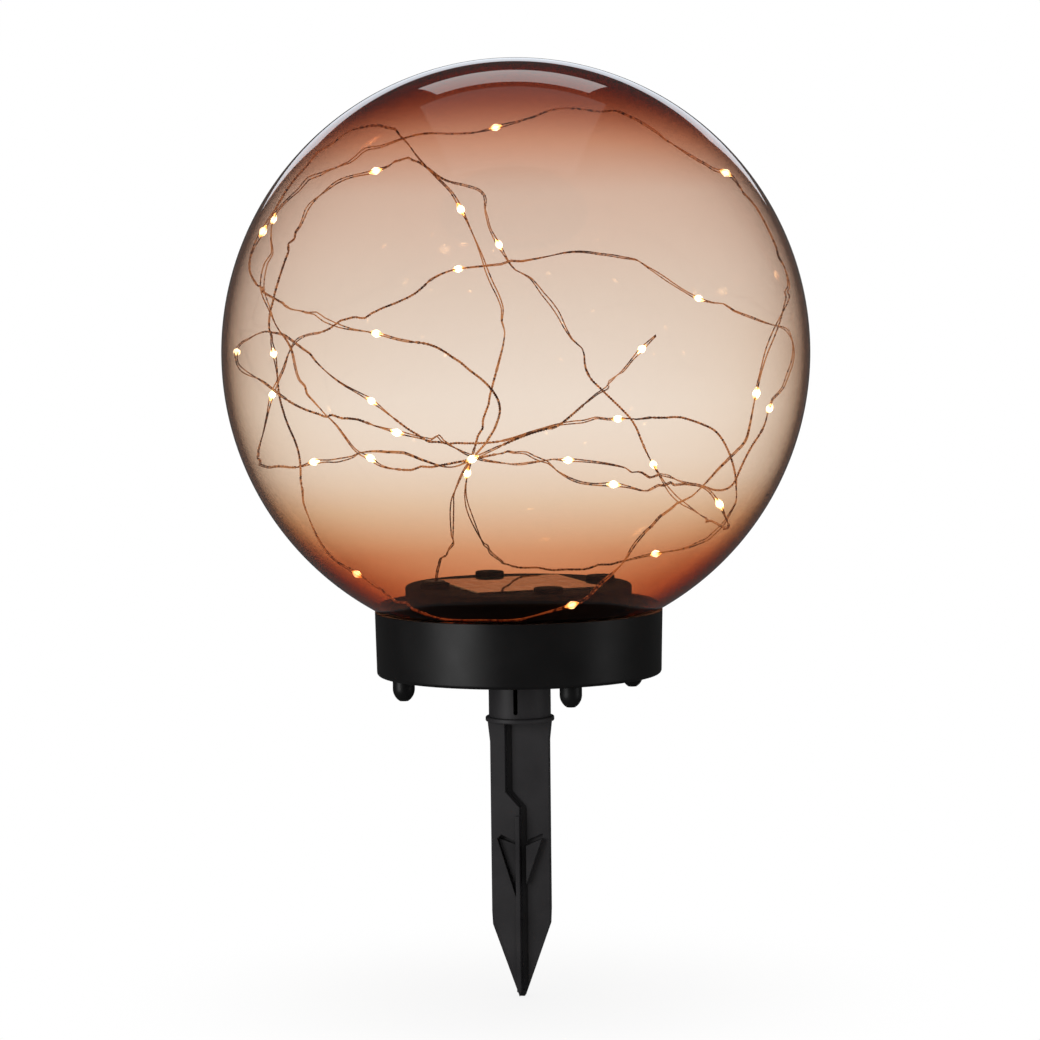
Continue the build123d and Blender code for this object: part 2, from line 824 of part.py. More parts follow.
# Each stretch runs to its own light, which sits at the stretch's last point. A point is how far it is
# seen to the right of the globe's centre, how far above it, and how deep it lies, from -1 on the front
# wall to 1 on the back.
STRING_STRETCHES = [
    [(-57.5, 8.5, -0.97), (-67, 12, -0.95), (-76, 15.5, -0.85), (-83.5, 19.5, -0.78), (-87.5, 22.5, -0.65),
     (-90.5, 27.5, -0.6), (-89.5, 34, -0.9), (-85.7, 41.1, -0.5)],
    [(-81.5, 48.5, -0.6), (-76.5, 57, -0.5), (-71, 63.5, -0.3), (-64.5, 69.5, -0.2), (-55, 75.5, -0.2),
     (-45.6, 77.5, -0.3), (-38, 72.8, -0.3), (-32.6, 65.6, -0.3), (-25.5, 58.5, -0.28), (-18.4, 49, -0.25)],
    [(-12.2, 35, -0.25), (-9.5, 26.2, -0.25), (-4.4, 17, -0.24), (-3.4, 7, -0.22), (-6, -4, -0.2),
     (-9, -15, -0.18), (-12, -26.5, -0.16), (-17, -41.5, -0.12)],
    [(-17.5, -49, -0.03), (-15, -57, 0.08), (-10.9, -66, 0.22), (-4.8, -72, 0.45), (1.4, -74, 0.72),
     (11.6, -74.4, 0.8), (22.8, -74.4, 0.82), (30.6, -73.4, 0.75), (39, -70.7, 0.5), (47.6, -68.7, 0.3)],
    [(59.8, -67, 0.35), (70, -60.9, 0.4), (75.5, -51, 0.45), (75.5, -39.4, 0.4), (70, -27.5, 0.35),
     (63.9, -24.1, 0.35), (54, -21, 0.33), (45.9, -22.4, 0.32), (35, -22.4, 0.3)],
    [(25.8, -23, 0.33), (16.7, -23.8, 0.38), (7.1, -26.2, 0.42), (-3.4, -30, 0.47), (-11.6, -31, 0.52),
     (-20.7, -31, 0.58), (-32, -29, 0.65), (-41.5, -22.8, 0.71), (-49.3, -16.3, 0.75)],
    [(-54, -13.6, 0.8), (-59.8, -10.5, 0.85), (-66, -5.8, 0.88), (-72.8, 1.7, 0.9), (-78.2, 5.1, 0.92),
     (-85, 7.8, 0.9), (-88.7, 6.5, 0.85), (-93.8, 4, 0.8), (-95.5, 0.7, 0.3)],
    [(-94.8, -4, -0.3), (-91, -7, -0.55), (-86.4, -9.2, -0.65), (-79.6, -14.3, -0.7), (-72.8, -18.7, -0.74),
     (-64.3, -21.4, -0.76), (-57.5, -22, -0.77), (-49.6, -24.1, -0.77), (-40.5, -27, -0.75)],
    [(-32, -29, -0.68), (-24, -30, -0.55), (-15, -35.7, -0.4), (-5.4, -37.4, -0.25), (0.7, -38.4, -0.1),
     (7, -36.7, 0.07), (16.7, -36.4, 0.25)],
    [(29, -37.4, 0.25), (36, -38.8, 0.2), (44.5, -41.5, 0.08), (51.3, -41.1, -0.1), (57, -44.5, -0.33),
     (64.6, -45.2, -0.52), (69.4, -51.3, -0.72)],
    [(72, -58, -1), (72.2, -60, -0.55), (66.6, -57.5, 0.3), (61.2, -54, 0.5), (53.4, -49, 0.58),
     (46.9, -38, 0.6)],
    [(43.5, -31, 0.65), (40.5, -24, 0.65), (36, -19, 0.66), (29.2, -12.2, 0.67), (24.5, -8, 0.68),
     (22.4, 0.3, 0.68), (17.3, 7.8, 0.69), (14.3, 14, 0.69), (9.5, 19.7, 0.7), (4, 25.8, 0.7),
     (-2, 30.3, 0.7), (-5.8, 37, 0.7)],
    [(-9.5, 44, 0.68), (-10, 50.3, 0.62), (-11.2, 55.4, 0.52), (-18, 57, 0.38), (-24, 58.5, 0.22),
     (-31.3, 64, 0.06), (-37.7, 66, -0.08), (-46.6, 61.5, -0.25)],
    [(-58.8, 59, -0.25), (-65, 54.7, -0.15), (-70.7, 50.3, 0.0), (-72.8, 44.2, 0.15), (-75.8, 37.7, 0.25),
     (-78.9, 31, 0.35), (-81.6, 23, 0.42), (-84, 14.3, 0.55), (-84.7, 7.8, 0.68), (-83, 0, 0.8)],
    [(-82, -5, 0.85), (-82, -11, 0.85), (-80.6, -16.7, 0.82), (-78.5, -24, 0.8), (-74.8, -32.3, 0.78),
     (-73.8, -39.4, 0.74), (-74, -46.6, 0.7), (-72, -54.7, 0.65), (-68.7, -62, 0.6), (-63.2, -70.7, 0.55),
     (-54, -76, 0.3)],
    [(-46.2, -81, -0.15), (-40, -85, -0.65), (-32, -88, -1.0), (-23, -90.2, -1.2), (-12.2, -91.2, -1.12),
     (-1, -91.1, -1.05), (8, -88.6, -0.88), (19, -85.7, -0.8)],
    [(24.5, -83.2, -0.75), (27.9, -78.9, -0.67), (32.6, -75, -0.66), (37, -70.7, -0.65), (40, -65.3, -0.6),
     (45.2, -59.8, -0.6), (51.3, -55, -0.62), (58.5, -49.6, -0.62), (64.3, -44.2, -0.65), (71, -36.7, -0.72),
     (77.2, -32.3, -0.85), (78.9, -25.5, -0.85), (81.3, -13.6, -0.83)],
    [(83, -5.8, -0.84), (84.7, 1, -0.85), (87.4, 7.8, -0.87), (90.4, 14.6, -0.9), (92.5, 20.4, -0.9),
     (92, 27.2, -0.9), (89.4, 34.6, 0), (85.8, 42.4, 0), (81, 50.5, 0), (77.3, 56, 0), (71.7, 61.5, 0)],
    [(66.6, 62.2, 0.0), (61.9, 65.6, 0.1), (53.4, 70.7, 0.25), (45.9, 76.8, 0.4), (37.7, 81.3, 0.5),
     (29.6, 81.6, 0.5), (22.4, 83, 0.52), (15.3, 83.6, 0.52), (9.2, 82, 0.52), (3, 79.2, 0.52),
     (-7, 76.8, 0.52)],
    [(-12.9, 75, 0.5), (-21.8, 74.5, 0.48), (-31, 74.8, 0.48), (-38.8, 72.8, 0.48), (-44.9, 70.7, 0.48),
     (-50.7, 69, 0.5), (-56.4, 66.3, 0.5), (-62.2, 63.2, 0.5), (-70, 58.8, 0.5), (-75.5, 54.4, 0.55),
     (-80.2, 50, 0.7), (-83, 45.9, 0.9)],
    [(-83.6, 41.1, 0.7), (-83.6, 35.7, 0.55), (-86.4, 28.2, 0.55), (-87, 21.4, 0.5), (-84, 15, 0.38),
     (-81.6, 8.8, 0.35), (-76.8, 3, 0.3), (-75.5, -3, 0.28), (-74.8, -9.2, 0.26), (-70.4, -15.3, 0.23),
     (-64.3, -20.7, 0.2), (-58.8, -28.2, 0.17), (-54.7, -33.7, 0.14), (-49.6, -35.7, 0.1)],
    [(-45.6, -38.8, 0.08), (-38, -40, 0.07), (-32.6, -39.8, 0.05), (-24, -38, 0.02), (-14, -36, -0.07),
     (-5.4, -34.3, -0.15), (0.3, -33.7, -0.22), (6.5, -35.7, -0.28), (12.6, -39, -0.33), (20, -43.9, -0.4),
     (26.9, -44.9, -0.44), (33.3, -44.5, -0.46)],
    [(39, -45.6, -0.43), (44.5, -47.6, -0.35), (50.7, -45.2, -0.2), (57, -44.5, -0.02), (63.9, -45.6, 0.25),
     (69.4, -47.6, 0.5), (74.5, -46, 0.7), (77, -39.5, 0.72), (80.5, -32.5, 0.7), (85, -26, 0.68),
     (86.7, -18.5, 0.55)],
    [(91, -13.6, 0.5), (92.5, -9.2, 0.4), (94.5, -3, 0.45), (95, 2.4, 0.65), (94, 6.5, 0.7), (92.5, 8.5, 0.9),
     (88, 9.9, 0.95), (83, 11.2, 0.95), (77.9, 12.9, 0.95), (69.4, 17, 0.95), (62.6, 18.4, 0.95)],
    [(56.4, 22, 0.93), (50, 26.2, 0.92), (44.5, 29.6, 0.92), (38.4, 32.3, 0.92), (28.6, 34, 0.91),
     (18.7, 35, 0.91), (8.5, 32.6, 0.92), (-2, 30.3, 0.92), (-10.2, 29.9, 0.92), (-19.7, 28.9, 0.92)],
    [(-26, 26.9, 0.92), (-34, 20.4, 0.92), (-42, 16.7, 0.92), (-50, 12.9, 0.92), (-57.5, 11.6, 0.9),
     (-66, 7, 0.88), (-70.7, 6.5, 0.82), (-75, 4.5, 0.66), (-78, 0, 0.56), (-79.6, -6, 0.5),
     (-83.6, -14.3, 0.5)],
    [(-85.3, -22, 0.5), (-86.7, -29, 0.5), (-88.5, -34.5, 0.3), (-87.5, -38, -0.5), (-84.7, -39, -0.7),
     (-79.9, -38.4, -0.8), (-74, -38.8, -0.87), (-68, -36.4, -0.8)],
    [(-59.5, -36.7, -0.84), (-54.7, -34, -0.86), (-48.6, -33, -0.88), (-40.8, -34, -0.9), (-32.6, -36, -0.92),
     (-25.5, -38.4, -0.94), (-20.5, -38.6, -0.95), (-15, -36, -0.96)],
    [(-5.4, -31.6, -0.95), (1.4, -28.6, -0.93), (8.2, -26.2, -0.9), (13.6, -25.5, -0.85), (19.4, -21, -0.78),
     (25.2, -15.6, -0.68), (30.6, -10.9, -0.56), (36, -6.5, -0.38), (42.2, 1, -0.28)],
]
STRING_TAIL = (47.6, 5.8, -0.25)


def seen_point(across, up, depth):
    """The place on a sight line that lies at this depth between the globe's front and back walls."""
    lean = radians(view_lean)
    eye = Vector(0, -view_distance, globe_centre + view_rise)
    seen = Vector(across * cos(lean) + up * sin(lean), 0, globe_centre + up * cos(lean) - across * sin(lean))
    sight = (seen - eye).normalized()
    centre = Vector(0, 0, globe_centre) - eye
    nearest = centre.dot(sight)
    miss = (centre - sight * nearest).length
    half_chord = sqrt(max(string_globe_radius ** 2 - miss ** 2, 0))
    return eye + sight * (nearest + depth * half_chord)


def string_route():
    x, y = on_circle(boss_circle, deck_turn + OUTLET_BOSS)
    start = deck_ceiling - grommet_lip
    route = [Vector(x, y, start), Vector(x, y, boss_top + grommet_lip + STRING_RISE)]
    route += [seen_point(*point) for point in STRING_LEAD_IN]
    lights = [len(route) - 1]
    for stretch in STRING_STRETCHES:
        route += [seen_point(*point) for point in stretch]
        lights.append(len(route) - 1)
    route.append(seen_point(*STRING_TAIL))
    return route, lights


def light_places(route, lights):
    """Where the string's line passes inside each light's corner, and which way it runs there."""
    radii = corner_radii(route)
    places = []
    for number in lights:
        arrive = (route[number] - route[number - 1]).normalized()
        leave = (route[number + 1] - route[number]).normalized()
        half_turn = radians(arrive.get_angle(leave) / 2)
        inward = (leave - arrive).normalized() * radii[number - 1] * (1 / cos(half_turn) - 1)
        places.append(Plane(origin=route[number] + inward, z_dir=arrive + leave))
    return places


def led_bead(chip):
    bore = string_diameter / 2 + bead_bore_clearance
    half_side = [
        (bore, bead_length / 2),
        (bore + bead_end_wall, bead_length / 2),
        (bead_radius, bead_straight / 2),
    ]
    other_side = [(radius, -along) for radius, along in half_side[::-1]]
    outline = make_face(Polyline(*half_side, *other_side, close=True))
    return revolve(Plane.XZ * outline, Axis.Z) - chip


def led_chip():
    height, width, length = led_chip_size
    bore = string_diameter / 2 + bead_bore_clearance
    return Pos(bore + led_chip_inset + height / 2, 0, 0) * Box(height, width, length)


# Make and write every piece

os.makedirs("parts", exist_ok=True)
deck_frame = Rot(0, 0, deck_turn)

save("ground_stake", ground_stake())
save("base_housing", base_housing())
save("globe", globe())
gasket_outer = cup_radius - leaning_clearance
save("globe_gasket", tube(gasket_outer, gasket_outer - gasket_width, ledge, neck_bottom))

deck_pieces = {
    "solar_deck": solar_deck(),
    "panel_adhesive": panel_adhesive(),
    "panel_backing": block(panel_side, panel_side, backing_bottom, cover_bottom),
    "solar_cells": solar_cells(),
    "panel_cover": panel_cover(),
    "deck_screws": deck_screws(),
    "screw_plugs": screw_plugs(),
    "wire_grommet": wire_grommet(),
    "circuit_board": circuit_board(),
    "board_screws": board_screws(),
    "driver_chip": driver_chip(),
    "inductor": inductor(),
    "capacitor": capacitor(),
    "battery_cell": battery_cell(),
    "battery_contact": battery_contact(),
    "battery_spring": battery_spring(),
    "battery_door": battery_door(),
    "door_seal": door_seal(),
    "door_screw": door_screw(),
    "switch_body": switch_body(),
    "switch_slider": switch_slider(),
    "panel_leads": panel_leads(),
    "battery_leads": battery_leads(),
    "switch_leads": switch_leads(),
    "string_lead": string_lead(),
}
for node, shape in deck_pieces.items():
    if isinstance(shape, list):
        save(node, Compound([deck_frame * piece for piece in shape]))
    else:
        save(node, deck_frame * shape)

route, lights = string_route()
save("string_wire", wire("string_wire", route, string_diameter))
chip = led_chip()
bead = led_bead(chip)
places = light_places(route, lights)
save("led_beads", Compound([place * bead for place in places]))
save("led_chips", Compound([place * chip for place in places]))
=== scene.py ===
import random
from math import cos, exp, pi, radians, sin, sqrt

import bmesh
import bpy
from bpy.props import FloatProperty, FloatVectorProperty, IntProperty, PointerProperty
from bpy.types import Operator, Panel, PropertyGroup
from mathutils import Matrix, Vector


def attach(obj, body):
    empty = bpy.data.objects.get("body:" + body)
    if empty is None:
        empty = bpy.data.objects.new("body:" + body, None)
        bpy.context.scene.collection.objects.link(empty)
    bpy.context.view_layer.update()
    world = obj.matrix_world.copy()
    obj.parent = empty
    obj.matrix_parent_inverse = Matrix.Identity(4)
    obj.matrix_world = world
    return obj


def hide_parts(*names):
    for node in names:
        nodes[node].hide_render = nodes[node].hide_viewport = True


bl_info = {
    "name": "Solar Globe Bollard Light",
    "version": (1, 0, 0),
    "blender": (4, 5, 0),
    "location": "View3D > Sidebar > Globe Light",
    "description": "Dresses a solar globe light on a ground stake, with its light string and a plain stage",
    "category": "Object",
}

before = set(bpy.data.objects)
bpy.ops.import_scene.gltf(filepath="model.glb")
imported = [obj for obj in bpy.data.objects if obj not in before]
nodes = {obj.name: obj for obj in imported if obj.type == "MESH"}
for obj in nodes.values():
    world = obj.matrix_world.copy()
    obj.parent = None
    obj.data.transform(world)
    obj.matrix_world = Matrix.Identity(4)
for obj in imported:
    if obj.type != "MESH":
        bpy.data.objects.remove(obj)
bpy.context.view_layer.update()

# Everything is in metres. The route's lists are in millimetres, as the part's source has them.
MM = 0.001

# Levels and sizes shared with the part's source
RIM = 38.1 * MM
NECK_BOTTOM = 29.1 * MM
DECK_CEILING = 43.3 * MM
BOSS_TOP = 48.6 * MM
GLOBE_RADIUS = 100.0 * MM
SEAT_RADIUS = 47.85 * MM
NECK_RADIUS = 46.5 * MM
GLOBE_CENTRE = RIM + sqrt(GLOBE_RADIUS ** 2 - SEAT_RADIUS ** 2)
STAKE_TIP = -95.4 * MM
DECK_TURN = radians(19.6)
BOSS_CIRCLE = 30.0 * MM
OUTLET_TURN = DECK_TURN + pi
GROMMET_LIP = 0.8 * MM
PANEL_SIDE = 45.0 * MM
CELL_EDGES = 2.6 * MM
CELL_GAP = 0.3 * MM
CELL_COUNT = 8

# Where the photograph was taken from
VIEW_DISTANCE = 1362.0 * MM
VIEW_RISE = 49.7 * MM
VIEW_LEAN = radians(0.65)
VIEW_FOCAL = 4001.0
VIEW_CENTRE_RIGHT = 4.2
VIEW_CENTRE_DOWN = 167.0
PHOTO_SIDE = 1040
SENSOR_WIDTH = 36.0
EYE = Vector((0, -VIEW_DISTANCE, GLOBE_CENTRE + VIEW_RISE))
CENTRE = Vector((0, 0, GLOBE_CENTRE))

# Looks that are shared or named
WHITE = (1.0, 1.0, 1.0, 1.0)
ROOM_COLOUR = (1.0, 0.99, 0.98, 1.0)
FLOOR_FADE_LEAST = 0.75
NOISE_LOW = 0.3
NOISE_HIGH = 0.7
CLEAR_INDEX = 1.49

# How much the film darkens at a slant, by share of the ball's height
FILM_SLANT = [
    (0.14, 0.70), (0.28, 0.42), (0.40, 0.56), (0.50, 0.50), (0.64, 0.24), (0.78, 0.20), (0.92, 0.70),
]

# How the strands lie. The pairs and KINK_EVERY are in millimetres.
WINDING_PITCH = (1.7, 2.3)
PARTED_BY = (0.22, 0.5)
KINK_EVERY = 24
KINK_REACH = (2.5, 7.0)
KINK_HEIGHT = (0.5, 1.25)
SLOW_PITCH = 70 * MM
SHORTEST_RUN = 15 * MM
ROOM_AT_LIGHT = 5 * MM
ROOM_AT_SPLIT = 2 * MM
WAVER = 0.2 * MM
TIGHT_STEP = 0.25 * MM
LOOSE_STEP = 0.8 * MM
LINE_STEPS = 14
STRAND_ROOM = 97.6 * MM

# The lights
DROP_ATTRIBUTE = "along_drop"
DROP_TAPER = 0.45
CHIP_SIZE = (0.35 * MM, 0.7 * MM, 1.2 * MM)
CHIP_ASIDE = 0.75 * MM

# The light string
STRING_GLOBE_RADIUS = 96.0 * MM
STRING_RISE = 5.5
STRING_LEAD_IN = [
    (-21.5, -66, -0.25), (-22, -56, -0.37), (-21, -46, -0.52), (-15.6, -36.4, -0.72), (-7.5, -27, -0.87),
    (-4.4, -18.5, -0.95), (-9, -10.5, -0.97), (-18, -4, -0.97), (-28, 3, -0.97), (-38, 4, -0.98),
    (-47.3, 6.8, -0.98),
]

# Each stretch runs to its own light, which sits at the stretch's last point. A point is how far it is
# seen to the right of the globe's centre, how far above it, and how deep it lies, from -1 on the front
# wall to 1 on the back.
STRING_STRETCHES = [
    [(-57.5, 8.5, -0.97), (-67, 12, -0.95), (-76, 15.5, -0.85), (-83.5, 19.5, -0.78), (-87.5, 22.5, -0.65),
     (-90.5, 27.5, -0.6), (-89.5, 34, -0.9), (-85.7, 41.1, -0.5)],
    [(-81.5, 48.5, -0.6), (-76.5, 57, -0.5), (-71, 63.5, -0.3), (-64.5, 69.5, -0.2), (-55, 75.5, -0.2),
     (-45.6, 77.5, -0.3), (-38, 72.8, -0.3), (-32.6, 65.6, -0.3), (-25.5, 58.5, -0.28), (-18.4, 49, -0.25)],
    [(-12.2, 35, -0.25), (-9.5, 26.2, -0.25), (-4.4, 17, -0.24), (-3.4, 7, -0.22), (-6, -4, -0.2),
     (-9, -15, -0.18), (-12, -26.5, -0.16), (-17, -41.5, -0.12)],
    [(-17.5, -49, -0.03), (-15, -57, 0.08), (-10.9, -66, 0.22), (-4.8, -72, 0.45), (1.4, -74, 0.72),
     (11.6, -74.4, 0.8), (22.8, -74.4, 0.82), (30.6, -73.4, 0.75), (39, -70.7, 0.5), (47.6, -68.7, 0.3)],
    [(59.8, -67, 0.35), (70, -60.9, 0.4), (75.5, -51, 0.45), (75.5, -39.4, 0.4), (70, -27.5, 0.35),
     (63.9, -24.1, 0.35), (54, -21, 0.33), (45.9, -22.4, 0.32), (35, -22.4, 0.3)],
    [(25.8, -23, 0.33), (16.7, -23.8, 0.38), (7.1, -26.2, 0.42), (-3.4, -30, 0.47), (-11.6, -31, 0.52),
     (-20.7, -31, 0.58), (-32, -29, 0.65), (-41.5, -22.8, 0.71), (-49.3, -16.3, 0.75)],
    [(-54, -13.6, 0.8), (-59.8, -10.5, 0.85), (-66, -5.8, 0.88), (-72.8, 1.7, 0.9), (-78.2, 5.1, 0.92),
     (-85, 7.8, 0.9), (-88.7, 6.5, 0.85), (-93.8, 4, 0.8), (-95.5, 0.7, 0.3)],
    [(-94.8, -4, -0.3), (-91, -7, -0.55), (-86.4, -9.2, -0.65), (-79.6, -14.3, -0.7), (-72.8, -18.7, -0.74),
     (-64.3, -21.4, -0.76), (-57.5, -22, -0.77), (-49.6, -24.1, -0.77), (-40.5, -27, -0.75)],
    [(-32, -29, -0.68), (-24, -30, -0.55), (-15, -35.7, -0.4), (-5.4, -37.4, -0.25), (0.7, -38.4, -0.1),
     (7, -36.7, 0.07), (16.7, -36.4, 0.25)],
    [(29, -37.4, 0.25), (36, -38.8, 0.2), (44.5, -41.5, 0.08), (51.3, -41.1, -0.1), (57, -44.5, -0.33),
     (64.6, -45.2, -0.52), (69.4, -51.3, -0.72)],
    [(72, -58, -1), (72.2, -60, -0.55), (66.6, -57.5, 0.3), (61.2, -54, 0.5), (53.4, -49, 0.58),
     (46.9, -38, 0.6)],
    [(43.5, -31, 0.65), (40.5, -24, 0.65), (36, -19, 0.66), (29.2, -12.2, 0.67), (24.5, -8, 0.68),
     (22.4, 0.3, 0.68), (17.3, 7.8, 0.69), (14.3, 14, 0.69), (9.5, 19.7, 0.7), (4, 25.8, 0.7),
     (-2, 30.3, 0.7), (-5.8, 37, 0.7)],
    [(-9.5, 44, 0.68), (-10, 50.3, 0.62), (-11.2, 55.4, 0.52), (-18, 57, 0.38), (-24, 58.5, 0.22),
     (-31.3, 64, 0.06), (-37.7, 66, -0.08), (-46.6, 61.5, -0.25)],
    [(-58.8, 59, -0.25), (-65, 54.7, -0.15), (-70.7, 50.3, 0.0), (-72.8, 44.2, 0.15), (-75.8, 37.7, 0.25),
     (-78.9, 31, 0.35), (-81.6, 23, 0.42), (-84, 14.3, 0.55), (-84.7, 7.8, 0.68), (-83, 0, 0.8)],
    [(-82, -5, 0.85), (-82, -11, 0.85), (-80.6, -16.7, 0.82), (-78.5, -24, 0.8), (-74.8, -32.3, 0.78),
     (-73.8, -39.4, 0.74), (-74, -46.6, 0.7), (-72, -54.7, 0.65), (-68.7, -62, 0.6), (-63.2, -70.7, 0.55),
     (-54, -76, 0.3)],
    [(-46.2, -81, -0.15), (-40, -85, -0.65), (-32, -88, -1.0), (-23, -90.2, -1.2), (-12.2, -91.2, -1.12),
     (-1, -91.1, -1.05), (8, -88.6, -0.88), (19, -85.7, -0.8)],
    [(24.5, -83.2, -0.75), (27.9, -78.9, -0.67), (32.6, -75, -0.66), (37, -70.7, -0.65), (40, -65.3, -0.6),
     (45.2, -59.8, -0.6), (51.3, -55, -0.62), (58.5, -49.6, -0.62), (64.3, -44.2, -0.65), (71, -36.7, -0.72),
     (77.2, -32.3, -0.85), (78.9, -25.5, -0.85), (81.3, -13.6, -0.83)],
    [(83, -5.8, -0.84), (84.7, 1, -0.85), (87.4, 7.8, -0.87), (90.4, 14.6, -0.9), (92.5, 20.4, -0.9),
     (92, 27.2, -0.9), (89.4, 34.6, 0), (85.8, 42.4, 0), (81, 50.5, 0), (77.3, 56, 0), (71.7, 61.5, 0)],
    [(66.6, 62.2, 0.0), (61.9, 65.6, 0.1), (53.4, 70.7, 0.25), (45.9, 76.8, 0.4), (37.7, 81.3, 0.5),
     (29.6, 81.6, 0.5), (22.4, 83, 0.52), (15.3, 83.6, 0.52), (9.2, 82, 0.52), (3, 79.2, 0.52),
     (-7, 76.8, 0.52)],
    [(-12.9, 75, 0.5), (-21.8, 74.5, 0.48), (-31, 74.8, 0.48), (-38.8, 72.8, 0.48), (-44.9, 70.7, 0.48),
     (-50.7, 69, 0.5), (-56.4, 66.3, 0.5), (-62.2, 63.2, 0.5), (-70, 58.8, 0.5), (-75.5, 54.4, 0.55),
     (-80.2, 50, 0.7), (-83, 45.9, 0.9)],
    [(-83.6, 41.1, 0.7), (-83.6, 35.7, 0.55), (-86.4, 28.2, 0.55), (-87, 21.4, 0.5), (-84, 15, 0.38),
     (-81.6, 8.8, 0.35), (-76.8, 3, 0.3), (-75.5, -3, 0.28), (-74.8, -9.2, 0.26), (-70.4, -15.3, 0.23),
     (-64.3, -20.7, 0.2), (-58.8, -28.2, 0.17), (-54.7, -33.7, 0.14), (-49.6, -35.7, 0.1)],
    [(-45.6, -38.8, 0.08), (-38, -40, 0.07), (-32.6, -39.8, 0.05), (-24, -38, 0.02), (-14, -36, -0.07),
     (-5.4, -34.3, -0.15), (0.3, -33.7, -0.22), (6.5, -35.7, -0.28), (12.6, -39, -0.33), (20, -43.9, -0.4),
     (26.9, -44.9, -0.44), (33.3, -44.5, -0.46)],
    [(39, -45.6, -0.43), (44.5, -47.6, -0.35), (50.7, -45.2, -0.2), (57, -44.5, -0.02), (63.9, -45.6, 0.25),
     (69.4, -47.6, 0.5), (74.5, -46, 0.7), (77, -39.5, 0.72), (80.5, -32.5, 0.7), (85, -26, 0.68),
     (86.7, -18.5, 0.55)],
    [(91, -13.6, 0.5), (92.5, -9.2, 0.4), (94.5, -3, 0.45), (95, 2.4, 0.65), (94, 6.5, 0.7), (92.5, 8.5, 0.9),
     (88, 9.9, 0.95), (83, 11.2, 0.95), (77.9, 12.9, 0.95), (69.4, 17, 0.95), (62.6, 18.4, 0.95)],
    [(56.4, 22, 0.93), (50, 26.2, 0.92), (44.5, 29.6, 0.92), (38.4, 32.3, 0.92), (28.6, 34, 0.91),
     (18.7, 35, 0.91), (8.5, 32.6, 0.92), (-2, 30.3, 0.92), (-10.2, 29.9, 0.92), (-19.7, 28.9, 0.92)],
    [(-26, 26.9, 0.92), (-34, 20.4, 0.92), (-42, 16.7, 0.92), (-50, 12.9, 0.92), (-57.5, 11.6, 0.9),
     (-66, 7, 0.88), (-70.7, 6.5, 0.82), (-75, 4.5, 0.66), (-78, 0, 0.56), (-79.6, -6, 0.5),
     (-83.6, -14.3, 0.5)],
    [(-85.3, -22, 0.5), (-86.7, -29, 0.5), (-88.5, -34.5, 0.3), (-87.5, -38, -0.5), (-84.7, -39, -0.7),
     (-79.9, -38.4, -0.8), (-74, -38.8, -0.87), (-68, -36.4, -0.8)],
    [(-59.5, -36.7, -0.84), (-54.7, -34, -0.86), (-48.6, -33, -0.88), (-40.8, -34, -0.9), (-32.6, -36, -0.92),
     (-25.5, -38.4, -0.94), (-20.5, -38.6, -0.95), (-15, -36, -0.96)],
    [(-5.4, -31.6, -0.95), (1.4, -28.6, -0.93), (8.2, -26.2, -0.9), (13.6, -25.5, -0.85), (19.4, -21, -0.78),
     (25.2, -15.6, -0.68), (30.6, -10.9, -0.56), (36, -6.5, -0.38), (42.2, 1, -0.28)],
]
STRING_TAIL = (47.6, 5.8, -0.25)


# The camera and the stage


def aim_camera(camera):
    """Stands the camera where the photograph was taken and turns it to the photograph's middle."""
    to_globe = Vector((0, VIEW_DISTANCE, -VIEW_RISE)).normalized()
    across = Vector((1, 0, 0))
    upright = across.cross(to_globe)
    right = cos(VIEW_LEAN) * across - sin(VIEW_LEAN) * upright
    above = sin(VIEW_LEAN) * across + cos(VIEW_LEAN) * upright
    ahead = VIEW_FOCAL * to_globe + VIEW_CENTRE_RIGHT * right - VIEW_CENTRE_DOWN * above
    ahead.normalize()
    above = (above - ahead * above.dot(ahead)).normalized()
    right = ahead.cross(above)
    turn = Matrix((right, above, -ahead)).transposed().to_4x4()
    camera.matrix_world = Matrix.Translation(EYE) @ turn


def placed(name, data):
    """A new object of the scene."""
    thing = bpy.data.objects.new(name, data)
    bpy.context.scene.collection.objects.link(thing)
    return thing


def area_lamp(name, place, target, width, height, radiance, colour=(1.0, 1.0, 1.0)):
    """A soft box whose surface is this bright, turned to face the target."""
    light = bpy.data.lights.new(name, "AREA")
    light.shape = "RECTANGLE"
    light.size = width
    light.size_y = height
    light.color = colour
    light.energy = radiance * pi * width * height
    lamp = placed(name, light)
    facing = (Vector(target) - Vector(place)).to_track_quat("-Z", "Y")
    lamp.matrix_world = Matrix.Translation(place) @ facing.to_matrix().to_4x4()
    lamp.visible_camera = False
    return lamp


def sees_background(tree):
    """1 for the rays that show the background: seen straight or through glass."""
    path = tree.nodes.new("ShaderNodeLightPath")
    return math_node(tree, "MAXIMUM", path.outputs["Is Camera Ray"], path.outputs["Is Transmission Ray"])


def make_world(level, gloss_level):
    """White where it is seen, an even soft light on the object, and a dim room in its gloss."""
    world = bpy.data.worlds.new("studio")
    world.use_nodes = True
    tree = world.node_tree
    tree.nodes.clear()
    path = tree.nodes.new("ShaderNodeLightPath")
    strength = ranged(tree, path.outputs["Is Diffuse Ray"], 0.0, 1.0, gloss_level, level)
    room = made(tree, "ShaderNodeBackground", {"Color": ROOM_COLOUR, "Strength": strength})
    white = made(tree, "ShaderNodeBackground", {"Color": WHITE, "Strength": 1.0})
    output = tree.nodes.new("ShaderNodeOutputWorld")
    tree.links.new(mixed(tree, sees_background(tree), room, white), output.inputs["Surface"])
    bpy.context.scene.world = world


